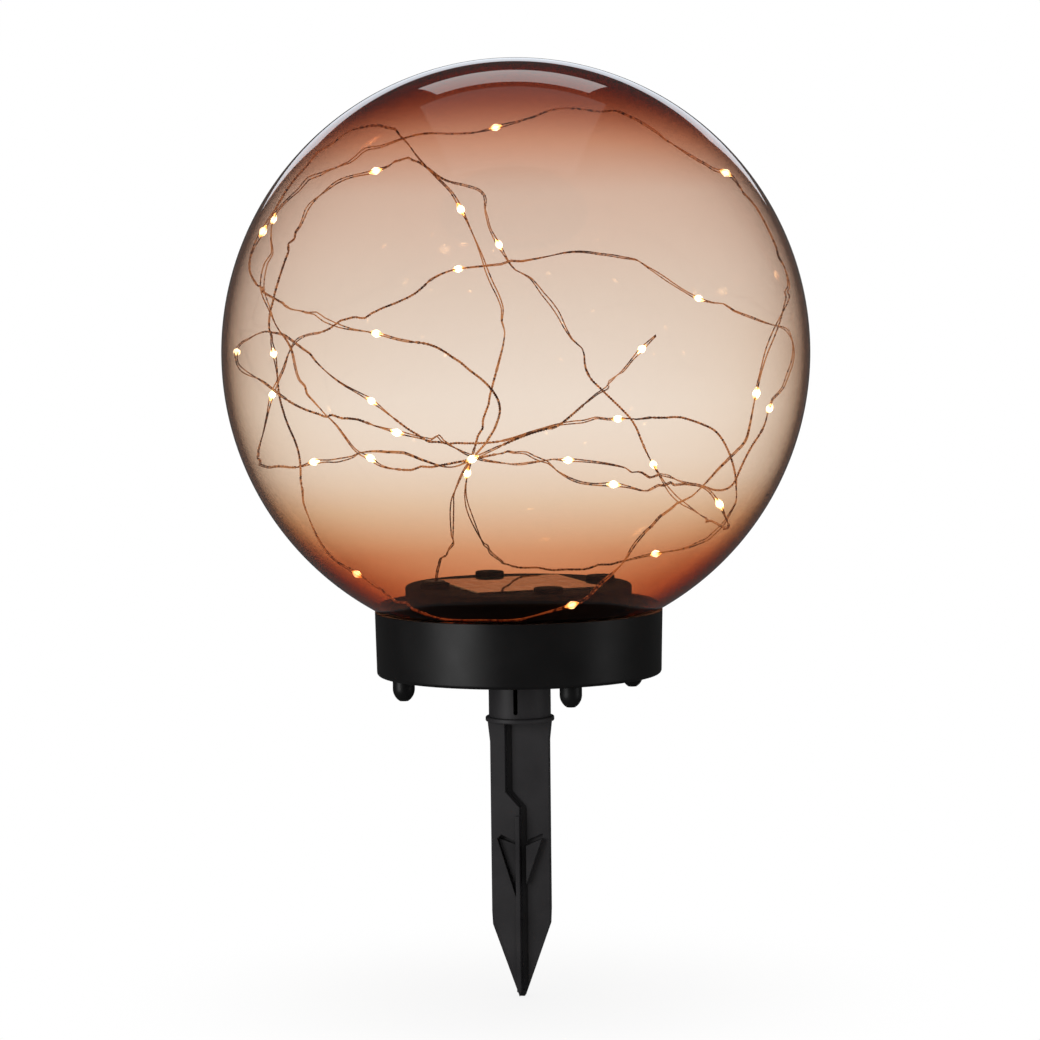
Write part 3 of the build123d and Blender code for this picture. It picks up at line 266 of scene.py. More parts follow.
def floor_material(radius, gloss_level):
    """A pale floor that keeps the object's shadow and turns to the plain background near its edge."""
    material, tree, shader = plain_material("pale_floor")
    place = object_place(tree)
    grain = noise_node(tree, place, 900.0)
    set_inputs(tree, shader, {
        "Base Color": two_tone(tree, grain, (0.90, 0.90, 0.90), (0.94, 0.94, 0.94)),
        "Roughness": 0.9,
        "Specular IOR Level": 0.1,
    })
    away = far_from(tree, place, (0, 0, 0))
    fade = ranged(tree, away, 0.02 * radius, 0.35 * radius, FLOOR_FADE_LEAST, 1.0, "SMOOTHERSTEP")
    share = math_node(tree, "MULTIPLY", fade, sees_background(tree))
    white = made(tree, "ShaderNodeEmission", {"Color": WHITE})
    seen = mixed(tree, share, shader.outputs["BSDF"], white)

    # In the object's gloss the floor is as dim as the room.
    path = tree.nodes.new("ShaderNodeLightPath")
    gloss = math_node(tree, "SUBTRACT", path.outputs["Is Glossy Ray"], path.outputs["Is Transmission Ray"])
    dim = made(tree, "ShaderNodeEmission", {"Color": WHITE, "Strength": gloss_level})
    show(tree, mixed(tree, math_node(tree, "MAXIMUM", gloss, 0.0), seen, dim))
    return material


def make_floor(radius, gloss_level):
    shape = bmesh.new()
    bmesh.ops.create_circle(shape, cap_ends=True, segments=96, radius=radius)
    bmesh.ops.translate(shape, verts=shape.verts, vec=(0, 0, STAKE_TIP - 0.1 * MM))
    mesh = mesh_from("floor", shape)
    mesh.materials.append(floor_material(radius, gloss_level))
    placed("floor", mesh)


# What the materials are made with


def plain_material(name):
    material = bpy.data.materials.new(name)
    material.use_nodes = True
    tree = material.node_tree
    return material, tree, tree.nodes["Principled BSDF"]


def put(tree, value, socket):
    """Links another socket, or sets a plain number or colour."""
    if isinstance(value, bpy.types.NodeSocket):
        tree.links.new(value, socket)
    else:
        socket.default_value = value


def set_inputs(tree, node, values):
    """Links or sets each of these inputs, by name."""
    for name, value in values.items():
        put(tree, value, node.inputs[name])


def made(tree, kind, values):
    """The first output of a new node with these inputs."""
    node = tree.nodes.new(kind)
    set_inputs(tree, node, values)
    return node.outputs[0]


def mixed(tree, share, first, second):
    """The first shader where the share is 0 and the second where it is 1."""
    node = tree.nodes.new("ShaderNodeMixShader")
    tree.links.new(share, node.inputs["Fac"])
    tree.links.new(first, node.inputs[1])
    tree.links.new(second, node.inputs[2])
    return node.outputs["Shader"]


def blended(tree, share, first, second):
    """The first colour where the share is 0 and the second where it is 1."""
    node = tree.nodes.new("ShaderNodeMix")
    node.data_type = "RGBA"
    set_inputs(tree, node, {"Factor": share, "A": first, "B": second})
    return node.outputs["Result"]


def show(tree, surface):
    tree.links.new(surface, tree.nodes["Material Output"].inputs["Surface"])


def object_place(tree):
    return tree.nodes.new("ShaderNodeTexCoord").outputs["Object"]


def mapped_place(tree, turn=0.0, stretch=1.0):
    """Object coordinates turned back about the upright axis and stretched along it."""
    return made(tree, "ShaderNodeMapping", {
        "Vector": object_place(tree),
        "Rotation": (0, 0, -turn),
        "Scale": (1.0, 1.0, stretch),
    })


def split_place(tree, place):
    node = tree.nodes.new("ShaderNodeSeparateXYZ")
    tree.links.new(place, node.inputs["Vector"])
    return node.outputs


def far_from(tree, place, centre):
    """How far a place is from a centre."""
    node = tree.nodes.new("ShaderNodeVectorMath")
    node.operation = "DISTANCE"
    tree.links.new(place, node.inputs[0])
    node.inputs[1].default_value = centre
    return node.outputs["Value"]


def math_node(tree, operation, first, second=0.0):
    node = tree.nodes.new("ShaderNodeMath")
    node.operation = operation
    put(tree, first, node.inputs[0])
    put(tree, second, node.inputs[1])
    return node.outputs["Value"]


def noise_node(tree, place, scale, detail=2.0):
    return made(tree, "ShaderNodeTexNoise", {"Vector": place, "Scale": scale, "Detail": detail})


def voronoi_node(tree, place, scale, distance="EUCLIDEAN"):
    node = tree.nodes.new("ShaderNodeTexVoronoi")
    node.distance = distance
    set_inputs(tree, node, {"Vector": place, "Scale": scale})
    return node.outputs["Distance"]


def ramp_node(tree, value, stops):
    """A colour ramp through these stops, each a position and a colour."""
    node = tree.nodes.new("ShaderNodeValToRGB")
    elements = node.color_ramp.elements
    while len(elements) < len(stops):
        elements.new(0.5)
    for element, (position, colour) in zip(elements, stops):
        element.position = position
        element.color = (*colour, 1.0)
    tree.links.new(value, node.inputs["Fac"])
    return node.outputs["Color"]


def two_tone(tree, value, dark, light):
    """A colour from dark to light, over the middle of a noise's values."""
    return ramp_node(tree, value, [(NOISE_LOW, dark), (NOISE_HIGH, light)])


def ranged(tree, value, start, end, low=0.0, high=1.0, easing="LINEAR"):
    """A number from low to high, as the value goes from start to end."""
    node = tree.nodes.new("ShaderNodeMapRange")
    node.interpolation_type = easing
    ends = {"From Min": start, "From Max": end, "To Min": low, "To Max": high}
    set_inputs(tree, node, {"Value": value, **ends})
    return node.outputs["Result"]


def between(tree, value, low, high):
    """A number from low to high, over the middle of a noise's values."""
    return ranged(tree, value, NOISE_LOW, NOISE_HIGH, low, high)


def bump(tree, shader, height, strength, distance, edge_radius=0.0):
    node = tree.nodes.new("ShaderNodeBump")
    set_inputs(tree, node, {"Height": height, "Strength": strength, "Distance": distance})
    if edge_radius:
        edge = tree.nodes.new("ShaderNodeBevel")
        edge.samples = 4
        edge.inputs["Radius"].default_value = edge_radius
        tree.links.new(edge.outputs["Normal"], node.inputs["Normal"])
    tree.links.new(node.outputs["Normal"], shader.inputs["Normal"])


def let_light_through(tree, surface, tint):
    """Shadows and soft light pass straight through the clear wall and take its tint."""
    path = tree.nodes.new("ShaderNodeLightPath")
    soft = math_node(tree, "MAXIMUM", path.outputs["Is Shadow Ray"], path.outputs["Is Diffuse Ray"])
    straight = made(tree, "ShaderNodeBsdfTransparent", {"Color": tint})
    show(tree, mixed(tree, soft, surface, straight))


def line_mask(tree, value, pitch, width):
    """1 on a line of this width at every step of the pitch, and 0 elsewhere."""
    share = math_node(tree, "FRACT", math_node(tree, "DIVIDE", value, pitch))
    offset = math_node(tree, "ABSOLUTE", math_node(tree, "SUBTRACT", share, 0.5))
    return math_node(tree, "LESS_THAN", offset, 0.5 * width / pitch)


# Materials


def moulded_plastic(name, dark, light, rough, specular, edge_radius):
    """Moulded plastic: a fine grain, faint flow marks and softened edges."""
    material, tree, shader = plain_material(name)
    place = object_place(tree)
    flow = noise_node(tree, place, 55.0, 4.0)
    set_inputs(tree, shader, {
        "Base Color": two_tone(tree, flow, dark, light),
        "Roughness": between(tree, flow, rough - 0.05, rough + 0.07),
        "Specular IOR Level": specular,
    })
    bump(tree, shader, noise_node(tree, place, 2600.0), 0.35, 0.03 * MM, edge_radius)
    return material


def rubber(name, colour):
    material, tree, shader = plain_material(name)
    place = object_place(tree)
    dust = noise_node(tree, place, 420.0, 4.0)
    lighter = tuple(channel * 1.6 + 0.004 for channel in colour)
    set_inputs(tree, shader, {
        "Base Color": ramp_node(tree, dust, [(0.35, colour), (0.75, lighter)]),
        "Roughness": 0.72,
        "Specular IOR Level": 0.3,
    })
    bump(tree, shader, noise_node(tree, place, 3200.0), 0.4, 0.02 * MM, 0.15 * MM)
    return material


def metal(name, dark, light, rough, scale, stretch=1.0):
    """Bare or plated metal with faint drawn or turned marks."""
    material, tree, shader = plain_material(name)
    marks = noise_node(tree, mapped_place(tree, stretch=stretch), scale, 5.0)
    set_inputs(tree, shader, {
        "Base Color": two_tone(tree, marks, dark, light),
        "Roughness": between(tree, marks, rough - 0.08, rough + 0.12),
        "Metallic": 1.0,
    })
    bump(tree, shader, marks, 0.25, 0.01 * MM, 0.1 * MM)
    return material


def slanted_film(tree, height, film):
    """The film's colour, darker where it is crossed at a slant, and the colour of half its depth."""
    facing = tree.nodes.new("ShaderNodeLayerWeight")
    facing.inputs["Blend"].default_value = 0.5
    upright = math_node(tree, "SUBTRACT", 1.0, facing.outputs["Facing"])
    crossing = math_node(tree, "DIVIDE", 1.0, math_node(tree, "MAXIMUM", upright, 0.13))
    powers = ramp_node(tree, height, [(share, (power, power, power)) for share, power in FILM_SLANT])
    slant = math_node(tree, "POWER", crossing, powers)
    channels = tree.nodes.new("ShaderNodeSeparateColor")
    tree.links.new(film, channels.inputs["Color"])
    crossed = tree.nodes.new("ShaderNodeCombineColor")
    half_crossed = tree.nodes.new("ShaderNodeCombineColor")
    for channel in ("Red", "Green", "Blue"):
        power = math_node(tree, "POWER", channels.outputs[channel], slant)
        tree.links.new(power, crossed.inputs[channel])
        tree.links.new(math_node(tree, "SQRT", power), half_crossed.inputs[channel])

    # From inside the wall itself the film adds no colour.
    within = tree.nodes.new("ShaderNodeNewGeometry").outputs["Backfacing"]
    return [blended(tree, within, node.outputs["Color"], WHITE) for node in (crossed, half_crossed)]


def film_lining(tree, tint, rim_colour):
    """The wall's inner face, which gives back little of the light in the wall, so the rim is dark."""
    lined = made(tree, "ShaderNodeBsdfRefraction", {"Color": tint, "Roughness": 0.01, "IOR": CLEAR_INDEX})
    gleam = made(tree, "ShaderNodeBsdfGlossy", {"Color": (*rim_colour, 1.0), "Roughness": 0.02})
    return mixed(tree, made(tree, "ShaderNodeFresnel", {"IOR": CLEAR_INDEX}), lined, gleam)


def amber_wall(settings):
    """Clear wall lined with an amber film, darker towards the ball's top and foot and paler across its
    middle.
    """
    material, tree, shader = plain_material("amber_wall")
    place = object_place(tree)
    upward = split_place(tree, place)["Z"]
    height = ranged(tree, upward, GLOBE_CENTRE - GLOBE_RADIUS, GLOBE_CENTRE + GLOBE_RADIUS)
    film = ramp_node(tree, height, [
        (0.13, tuple(settings.low_colour)),
        (0.21, (0.83, 0.56, 0.36)),
        (0.30, (0.93, 0.77, 0.63)),
        (0.40, tuple(settings.middle_colour)),
        (0.60, (0.82, 0.66, 0.545)),
        (0.77, (0.75, 0.54, 0.425)),
        (0.86, (0.68, 0.36, 0.24)),
        (0.94, tuple(settings.top_colour)),
    ])
    tint, half_tint = slanted_film(tree, height, film)
    wear = noise_node(tree, place, 60.0, 3.0)
    set_inputs(tree, shader, {
        "Base Color": tint,
        "Roughness": between(tree, wear, 0.004, 0.02),
        "Transmission Weight": 1.0,
        "IOR": CLEAR_INDEX,
    })
    reach = far_from(tree, place, CENTRE)
    inner = math_node(tree, "LESS_THAN", reach, GLOBE_RADIUS - 0.5 * settings.wall)
    lining = film_lining(tree, half_tint, settings.rim_colour)
    let_light_through(tree, mixed(tree, inner, shader.outputs["BSDF"], lining), half_tint)
    return material


def copper_strand():
    """Lacquered copper wire, bright in places and tarnished brown in others, with short dark bands of painted
    shade and painted highlight between them, where the twisted strands would catch and lose the light.
    """
    material, tree, shader = plain_material("copper_strand")
    place = object_place(tree)
    tarnish = noise_node(tree, place, 42.0)
    # Painted shade and highlight: fine light and dark bands along each strand stand in for the light that the
    # twisted strands catch and lose.
    painted_twist_shade = math_node(tree, "SUBTRACT", noise_node(tree, place, 800.0, 1.0), 0.48)
    shade = math_node(tree, "ADD", tarnish, math_node(tree, "MULTIPLY", painted_twist_shade, 1.3))
    stops = [(0.30, (0.075, 0.024, 0.010)), (0.44, (0.34, 0.125, 0.042)), (0.60, (0.86, 0.43, 0.18))]
    set_inputs(tree, shader, {
        "Base Color": ramp_node(tree, shade, stops),
        "Roughness": between(tree, shade, 0.5, 0.30),
        "Metallic": 0.25,
        "Specular IOR Level": 0.35,
    })
    bump(tree, shader, noise_node(tree, place, 2500.0), 0.2, 0.01 * MM)
    return material


def glowing_resin():
    """Clear resin drop lit from its middle: white hot at the chip, yellow towards its tips."""
    material, tree, shader = plain_material("glowing_resin")
    along = tree.nodes.new("ShaderNodeAttribute")
    along.attribute_name = DROP_ATTRIBUTE
    stops = [
        (0.0, (1.0, 0.94, 0.80)),
        (0.42, (1.0, 0.84, 0.50)),
        (0.66, (0.42, 0.24, 0.05)),
        (1.0, (0.22, 0.10, 0.012)),
    ]
    set_inputs(tree, shader, {
        "Base Color": (0.95, 0.85, 0.62, 1.0),
        "Transmission Weight": 0.85,
        "Roughness": 0.12,
        "IOR": 1.5,
        "Emission Color": ramp_node(tree, along.outputs["Fac"], stops),
        "Emission Strength": 2.6,
    })
    bump(tree, shader, noise_node(tree, object_place(tree), 700.0, 1.0), 0.3, 0.05 * MM)
    material.cycles.emission_sampling = "NONE"
    return material


def glowing_chip():
    material, tree, shader = plain_material("glowing_chip")
    spots = noise_node(tree, object_place(tree), 1800.0, 1.0)
    phosphor = two_tone(tree, spots, (1.0, 0.78, 0.36), (1.0, 0.9, 0.62))
    set_inputs(tree, shader, {
        "Base Color": phosphor,
        "Roughness": 0.5,
        "Emission Color": phosphor,
        "Emission Strength": 6.0,
    })
    material.cycles.emission_sampling = "NONE"
    return material


def cell_silicon():
    """Dark blue silicon strips with fine silver fingers across and a silver bar where two strips meet."""
    material, tree, shader = plain_material("cell_silicon")
    place = mapped_place(tree, DECK_TURN)
    sides = split_place(tree, place)
    fingers = line_mask(tree, sides["Y"], 1.6 * MM, 0.12 * MM)
    strip = (PANEL_SIDE - CELL_EDGES + CELL_GAP) / CELL_COUNT

    # Whole strips keep the place positive, and the half strip moves the bars to the strips' edges.
    shifted = math_node(tree, "ADD", sides["X"], 1000.5 * strip)
    silver = math_node(tree, "MAXIMUM", fingers, line_mask(tree, shifted, strip, 0.7 * MM))
    flakes = noise_node(tree, place, 160.0, 3.0)
    silicon = two_tone(tree, flakes, (0.004, 0.007, 0.024), (0.012, 0.020, 0.055))
    set_inputs(tree, shader, {
        "Base Color": blended(tree, silver, silicon, (0.42, 0.43, 0.45, 1.0)),
        "Metallic": math_node(tree, "MULTIPLY", silver, 0.8),
        "Roughness": between(tree, flakes, 0.22, 0.34),
    })
    bump(tree, shader, silver, 0.5, 0.02 * MM)
    return material


def clear_plastic():
    material, tree, shader = plain_material("clear_plastic")
    haze = noise_node(tree, object_place(tree), 300.0, 3.0)
    tint = two_tone(tree, haze, (0.93, 0.95, 0.96), (0.97, 0.98, 0.99))
    set_inputs(tree, shader, {
        "Base Color": tint,
        "Roughness": between(tree, haze, 0.02, 0.06),
        "Transmission Weight": 1.0,
        "IOR": CLEAR_INDEX,
    })
    bump(tree, shader, haze, 0.01, 0.01 * MM)
    let_light_through(tree, shader.outputs["BSDF"], tint)
    return material


def solder_mask():
    """Green board with copper tracks under the mask and tinned pads."""
    material, tree, shader = plain_material("solder_mask")
    place = mapped_place(tree, DECK_TURN)
    tracks = math_node(tree, "GREATER_THAN", voronoi_node(tree, place, 420.0, "MANHATTAN"), 0.62)
    pads = math_node(tree, "LESS_THAN", voronoi_node(tree, place, 260.0), 0.16)
    mottle = noise_node(tree, place, 90.0, 3.0)
    green = two_tone(tree, mottle, (0.006, 0.050, 0.018), (0.010, 0.075, 0.026))
    traced = blended(tree, tracks, green, (0.020, 0.13, 0.045, 1.0))
    set_inputs(tree, shader, {
        "Base Color": blended(tree, pads, traced, (0.58, 0.57, 0.54, 1.0)),
        "Metallic": pads,
        "Roughness": 0.32,
    })
    bump(tree, shader, math_node(tree, "MAXIMUM", tracks, pads), 0.4, 0.03 * MM, 0.1 * MM)
    return material


def cell_wrap():
    """Shrink-wrapped cell: a plain two-tone sleeve with a dull metal sheen."""
    material, tree, shader = plain_material("cell_wrap")
    place = mapped_place(tree, DECK_TURN)
    along = ranged(tree, split_place(tree, place)["Y"], -24.0 * MM, 30.0 * MM)
    stops = [
        (0.0, (0.55, 0.55, 0.54)),
        (0.02, (0.03, 0.14, 0.09)),
        (0.72, (0.03, 0.15, 0.10)),
        (0.74, (0.45, 0.40, 0.16)),
        (0.84, (0.44, 0.39, 0.15)),
        (0.87, (0.60, 0.59, 0.57)),
    ]
    crease = noise_node(tree, place, 380.0, 4.0)
    set_inputs(tree, shader, {
        "Base Color": ramp_node(tree, along, stops),
        "Roughness": between(tree, crease, 0.22, 0.38),
        "Metallic": 0.35,
    })
    bump(tree, shader, crease, 0.2, 0.03 * MM)
    return material


def grained(name, scale, dark, light, rough, strength, depth, edge_radius=0.0):
    """A dull surface of two tones, with pores or a coarse grain."""
    material, tree, shader = plain_material(name)
    grain = noise_node(tree, object_place(tree), scale, 3.0)
    set_inputs(tree, shader, {"Base Color": two_tone(tree, grain, dark, light), "Roughness": rough})
    bump(tree, shader, grain, strength, depth, edge_radius)
    return material


def finish_nodes(material, *names):
    for name in names:
        nodes[name].material_slots[0].material = material


# The light string


def on_circle(radius, turn):
    return radius * cos(turn), radius * sin(turn)


def seen_point(across, up, depth):
    """The place on a sight line that lies at this depth between the globe's front and back walls."""
    across = across * MM
    up = up * MM
    seen_across = across * cos(VIEW_LEAN) + up * sin(VIEW_LEAN)
    seen_up = up * cos(VIEW_LEAN) - across * sin(VIEW_LEAN)
    sight = (Vector((seen_across, 0, GLOBE_CENTRE + seen_up)) - EYE).normalized()
    to_centre = CENTRE - EYE
    nearest = to_centre.dot(sight)
    miss = (to_centre - sight * nearest).length
    half_chord = sqrt(max(STRING_GLOBE_RADIUS ** 2 - miss ** 2, 0))
    return EYE + sight * (nearest + depth * half_chord)


def string_route():
    """The string's control points, and which of them are lights."""
    x, y = on_circle(BOSS_CIRCLE, OUTLET_TURN)
    route = [
        Vector((x, y, DECK_CEILING - GROMMET_LIP)),
        Vector((x, y, BOSS_TOP + GROMMET_LIP + STRING_RISE * MM)),
    ]
    route += [seen_point(*point) for point in STRING_LEAD_IN]
    lights = [len(route) - 1]
    for stretch in STRING_STRETCHES:
        route += [seen_point(*point) for point in stretch]
        lights.append(len(route) - 1)
    route.append(seen_point(*STRING_TAIL))
    return route, lights


def curve_of(name, kind, lines, steps=12):
    """A curve with one spline of this kind through each line."""
    curve = bpy.data.curves.new(name, "CURVE")
    curve.dimensions = "3D"
    curve.resolution_u = steps
    for line in lines:
        spline = curve.splines.new(kind)
        spline.points.add(len(line) - 1)
        for point, place in zip(spline.points, line):
            point.co = (*place, 1.0)
    return curve


def mesh_of(name, curve):
    """The mesh that a curve makes. The curve itself is taken away."""
    holder = bpy.data.objects.new(name, curve)
    mesh = bpy.data.meshes.new_from_object(holder)
    mesh.name = name
    bpy.data.objects.remove(holder)
    bpy.data.curves.remove(curve)
    return mesh


def smooth_line(route):
    """The points of the smooth spline that these control points pull."""
    curve = curve_of("string_line", "NURBS", [route], LINE_STEPS)
    curve.splines[0].order_u = 3
    curve.splines[0].use_endpoint_u = True
    mesh = mesh_of("string_line", curve)
    points = [vertex.co.copy() for vertex in mesh.vertices]
    bpy.data.meshes.remove(mesh)
    return points


def frames_along(points):
    """At each point, how far along the line it is, the line's direction, and a side that never spins."""
    far = [0.0]
    for before, after in zip(points, points[1:]):
        far.append(far[-1] + (after - before).length)
    ahead = []
    for number in range(len(points)):
        first = points[max(number - 1, 0)]
        last = points[min(number + 1, len(points) - 1)]
        ahead.append((last - first).normalized())
    side = ahead[0].orthogonal().normalized()
    sides = [side]
    for before, after in zip(ahead, ahead[1:]):
        side = before.rotation_difference(after) @ side
        side = (side - after * side.dot(after)).normalized()
        sides.append(side)
    return far, ahead, sides


def string_lights(points, route, lights):
    """For each light, the number of the smooth line's point that is nearest its control point."""
    numbers = []
    for light in lights:
        first = max((light - 3) * LINE_STEPS, 0)
        last = min((light + 3) * LINE_STEPS, len(points))
        place = route[light]
        numbers.append(min(range(first, last), key=lambda number: (points[number] - place).length))
    return numbers


def eased(share):
    share = min(max(share, 0.0), 1.0)
    return share * share * (3.0 - 2.0 * share)


def hump(far, start, end):
    """Rises from 0 at the start to 1 in the middle and back to 0 at the end."""
    if not start < far < end:
        return 0.0
    share = (far - start) / (end - start)
    return eased(2.5 * min(share, 1.0 - share))


def strand_plan(marks, length, dice):
    """Chooses, for each stretch between lights, where the strands wind, part and are kinked."""
    wound = []
    parted = []
    kinks = []
    edges = [0.0, *marks, length]
    for start, end in zip(edges, edges[1:]):
        run = end - start
        if run < SHORTEST_RUN:
            continue
        split = start + run * dice.uniform(0.35, 0.65)
        zones = [
            (start + ROOM_AT_LIGHT, split - ROOM_AT_SPLIT),
            (split + ROOM_AT_SPLIT, end - ROOM_AT_LIGHT),
        ]
        if dice.random() < 0.5:
            zones.reverse()
        if dice.random() < 0.8:
            wound.append((*zones[0], 2 * pi / (dice.uniform(*WINDING_PITCH) * MM)))
        if dice.random() < 0.85:
            parted.append((*zones[1], dice.uniform(*PARTED_BY) * MM))
        for _ in range(max(round(run / (KINK_EVERY * MM)), 1)):
            place = start + run * dice.uniform(0.06, 0.94)
            reach = dice.uniform(*KINK_REACH) * MM
            kinks.append((place, reach, dice.uniform(*KINK_HEIGHT) * MM, dice.uniform(0, 2 * pi)))
    return wound, parted, kinks


def stations(length, wound):
    """Distances along the string, close together where its strands wind tightly."""
    here = 0.0
    places = []
    while here < length:
        places.append(here)
        tight = any(start < here < end for start, end, _ in wound)
        here += TIGHT_STEP if tight else LOOSE_STEP
    places.append(length)
    return places


def kept_inside(place, reach):
    """The same place, or the nearest one that is no further than this from the globe's centre."""
    away = place - CENTRE
    if away.length <= reach:
        return place
    return CENTRE + away * (reach / away.length)


def strand_paths(points, frames, marks, settings):
    """The two strands' lines: side by side, wound in places and further apart at each light."""
    far, ahead, sides = frames
    dice = random.Random(settings.seed)
    wound, parted, kinks = strand_plan(marks, far[-1], dice)
    slow = 2 * pi / SLOW_PITCH
    turn = dice.uniform(0, 2 * pi)
    strands = ([], [])
    before = 0.0
    number = 0
    for here in stations(far[-1], wound):
        while number < len(far) - 2 and far[number + 1] < here:
            number += 1
        share = (here - far[number]) / (far[number + 1] - far[number])
        middle = points[number].lerp(points[number + 1], share)
        forward = ahead[number].lerp(ahead[number + 1], share).normalized()
        across = sides[number].lerp(sides[number + 1], share)
        across = (across - forward * across.dot(forward)).normalized()
        other = forward.cross(across)
        tightness = 0.0
        rate = slow
        for start, end, quick in wound:
            winding = eased(2.0 * hump(here, start, end))
            rate += (quick - slow) * winding
            tightness = max(tightness, winding)
        turn += rate * (here - before)
        before = here
        gap = settings.strand_gap / 2 * (1.0 - 0.1 * tightness)
        for mark in marks:
            gap += 0.3 * MM * exp(-((here - mark) / (4.5 * MM)) ** 2)
        for start, end, extra in parted:
            gap += extra * hump(here, start, end)
        middle += across * WAVER * sin(here / (5.3 * MM)) * sin(here / (17 * MM))
        middle += other * WAVER * sin(here / (6.7 * MM) + 1.0) * sin(here / (23 * MM))
        for place, reach, height, angle in kinks:
            if abs(here - place) < reach:
                lift = height * (1.0 - abs(here - place) / reach)
                middle += (across * cos(angle) + other * sin(angle)) * lift
        middle = kept_inside(middle, STRAND_ROOM - gap)
        offset = (across * cos(turn) + other * sin(turn)) * gap
        strands[0].append(middle + offset)
        strands[1].append(middle - offset)
    return strands


def tube_mesh(name, lines, radius):
    """One mesh of round strands along these lines."""
    curve = curve_of(name, "POLY", lines)
    curve.bevel_depth = radius
    curve.bevel_resolution = 1
    curve.use_fill_caps = True
    return mesh_of(name, curve)


def piece_from(name, mesh, material, body, slot, *replaced):
    """A smooth-shaded piece that rides on a body and stands for these nodes."""
    mesh.polygons.foreach_set("use_smooth", [True] * len(mesh.polygons))
    mesh.set_sharp_from_angle(angle=radians(38))
    mesh.materials.clear()
    mesh.materials.append(material)
    piece = placed(name, mesh)
    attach(piece, body)
    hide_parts(*replaced)
    return piece


def mesh_from(name, shape):
    mesh = bpy.data.meshes.new(name)
    shape.to_mesh(mesh)
    shape.free()
    return mesh


def drop_mesh(seats, settings):
    """A tapered resin drop round the strands at each light, with how far along it each point lies."""
    shape = bmesh.new()
    along = shape.verts.layers.float.new(DROP_ATTRIBUTE)
    size = Vector((settings.bead_radius, settings.bead_radius, settings.bead_length / 2))
    for seat in seats:
        verts = bmesh.ops.create_uvsphere(shape, u_segments=14, v_segments=12, radius=1.0)["verts"]
        for vert in verts:
            share = abs(vert.co.z)
            vert[along] = share
            vert.co.x *= 1.0 - DROP_TAPER * share
            vert.co.y *= 1.0 - DROP_TAPER * share
        bmesh.ops.scale(shape, vec=size, verts=verts)
        bmesh.ops.transform(shape, matrix=seat, verts=verts)
    return mesh_from("resin_drops", shape)


def chip_mesh(seats):
    shape = bmesh.new()
    for seat in seats:
        made_verts = bmesh.ops.create_cube(shape, size=1.0)["verts"]
        bmesh.ops.scale(shape, vec=CHIP_SIZE, verts=made_verts)
        edges = list({edge for vert in made_verts for edge in vert.link_edges})
        eased_cube = bmesh.ops.bevel(
            shape, geom=edges, offset=0.06 * MM, affect="EDGES", segments=1, profile=0.5, material=-1)
        verts = {vert for face in eased_cube["faces"] for vert in face.verts}
        verts |= {vert for vert in made_verts if vert.is_valid}
        aside = seat @ Matrix.Translation((CHIP_ASIDE, 0, 0))
        bmesh.ops.transform(shape, matrix=aside, verts=list(verts))
    return mesh_from("light_chips", shape)


# The globe


def globe_shell(wall):
    """A ball cut off at the cup's rim, stepped in to a short neck, and given its wall."""
    shape = bmesh.new()
    bmesh.ops.create_uvsphere(shape, u_segments=240, v_segments=168, radius=GLOBE_RADIUS)
    bmesh.ops.translate(shape, verts=shape.verts, vec=(0, 0, GLOBE_CENTRE))
    everything = shape.verts[:] + shape.edges[:] + shape.faces[:]
    bmesh.ops.bisect_plane(
        shape, geom=everything, plane_co=(0, 0, RIM), plane_no=(0, 0, 1), clear_inner=True)
    for shrink, drop in ((NECK_RADIUS / SEAT_RADIUS, 0.0), (1.0, RIM - NECK_BOTTOM)):
        open_edges = [edge for edge in shape.edges if edge.is_boundary]
        made_edges = bmesh.ops.extrude_edge_only(shape, edges=open_edges)
        ring = [item for item in made_edges["geom"] if isinstance(item, bmesh.types.BMVert)]
        bmesh.ops.scale(shape, vec=(shrink, shrink, 1.0), verts=ring)
        bmesh.ops.translate(shape, verts=ring, vec=(0, 0, -drop))
    bmesh.ops.remove_doubles(shape, verts=shape.verts, dist=0.001 * MM)
    bmesh.ops.recalc_face_normals(shape, faces=shape.faces)
    bmesh.ops.solidify(shape, geom=shape.faces[:], thickness=wall)
    return mesh_from("globe_ball", shape)


# Settings, operators and the panel


def length_setting(name, description, default, least):
    return FloatProperty(
        name=name, description=description, default=default, min=least, precision=5, unit="LENGTH")


def colour_setting(name, description, default):
    return FloatVectorProperty(
        name=name, description=description, default=default, subtype="COLOR", min=0.0, max=1.0)


def level_setting(name, description, default):
    return FloatProperty(name=name, description=description, default=default, min=0.0)


class GlobeStringSettings(PropertyGroup):
    strand_radius: length_setting(
        "Strand radius", "Half the thickness of one strand", 0.23 * MM, 0.05 * MM)
    strand_gap: length_setting(
        "Strand spacing", "Distance between the two strands' centres", 0.50 * MM, 0.1 * MM)
    bead_radius: length_setting(
        "Bead radius", "Half the thickness of a resin drop", 1.25 * MM, 0.5 * MM)
    bead_length: length_setting(
        "Bead length", "Length of a resin drop along the string", 4.8 * MM, 1.0 * MM)
    seed: IntProperty(
        name="Lay", description="Changes where the strands wind, part and are kinked",
        default=7, min=0)


class GlobeWallSettings(PropertyGroup):
    wall: length_setting("Wall", "Thickness of the globe's wall", 1.8 * MM, 0.5 * MM)
    top_colour: colour_setting(
        "Top tint", "Colour seen through the ball near its top", (0.42, 0.14, 0.075))
    middle_colour: colour_setting(
        "Middle tint", "Colour seen through the ball a little below its middle", (0.95, 0.82, 0.70))
    low_colour: colour_setting(
        "Low tint", "Colour seen through the ball near the base", (0.72, 0.31, 0.155))
    rim_colour: colour_setting(
        "Rim gleam", "Colour of the light that the film gives back inside the wall", (0.20, 0.115, 0.08))


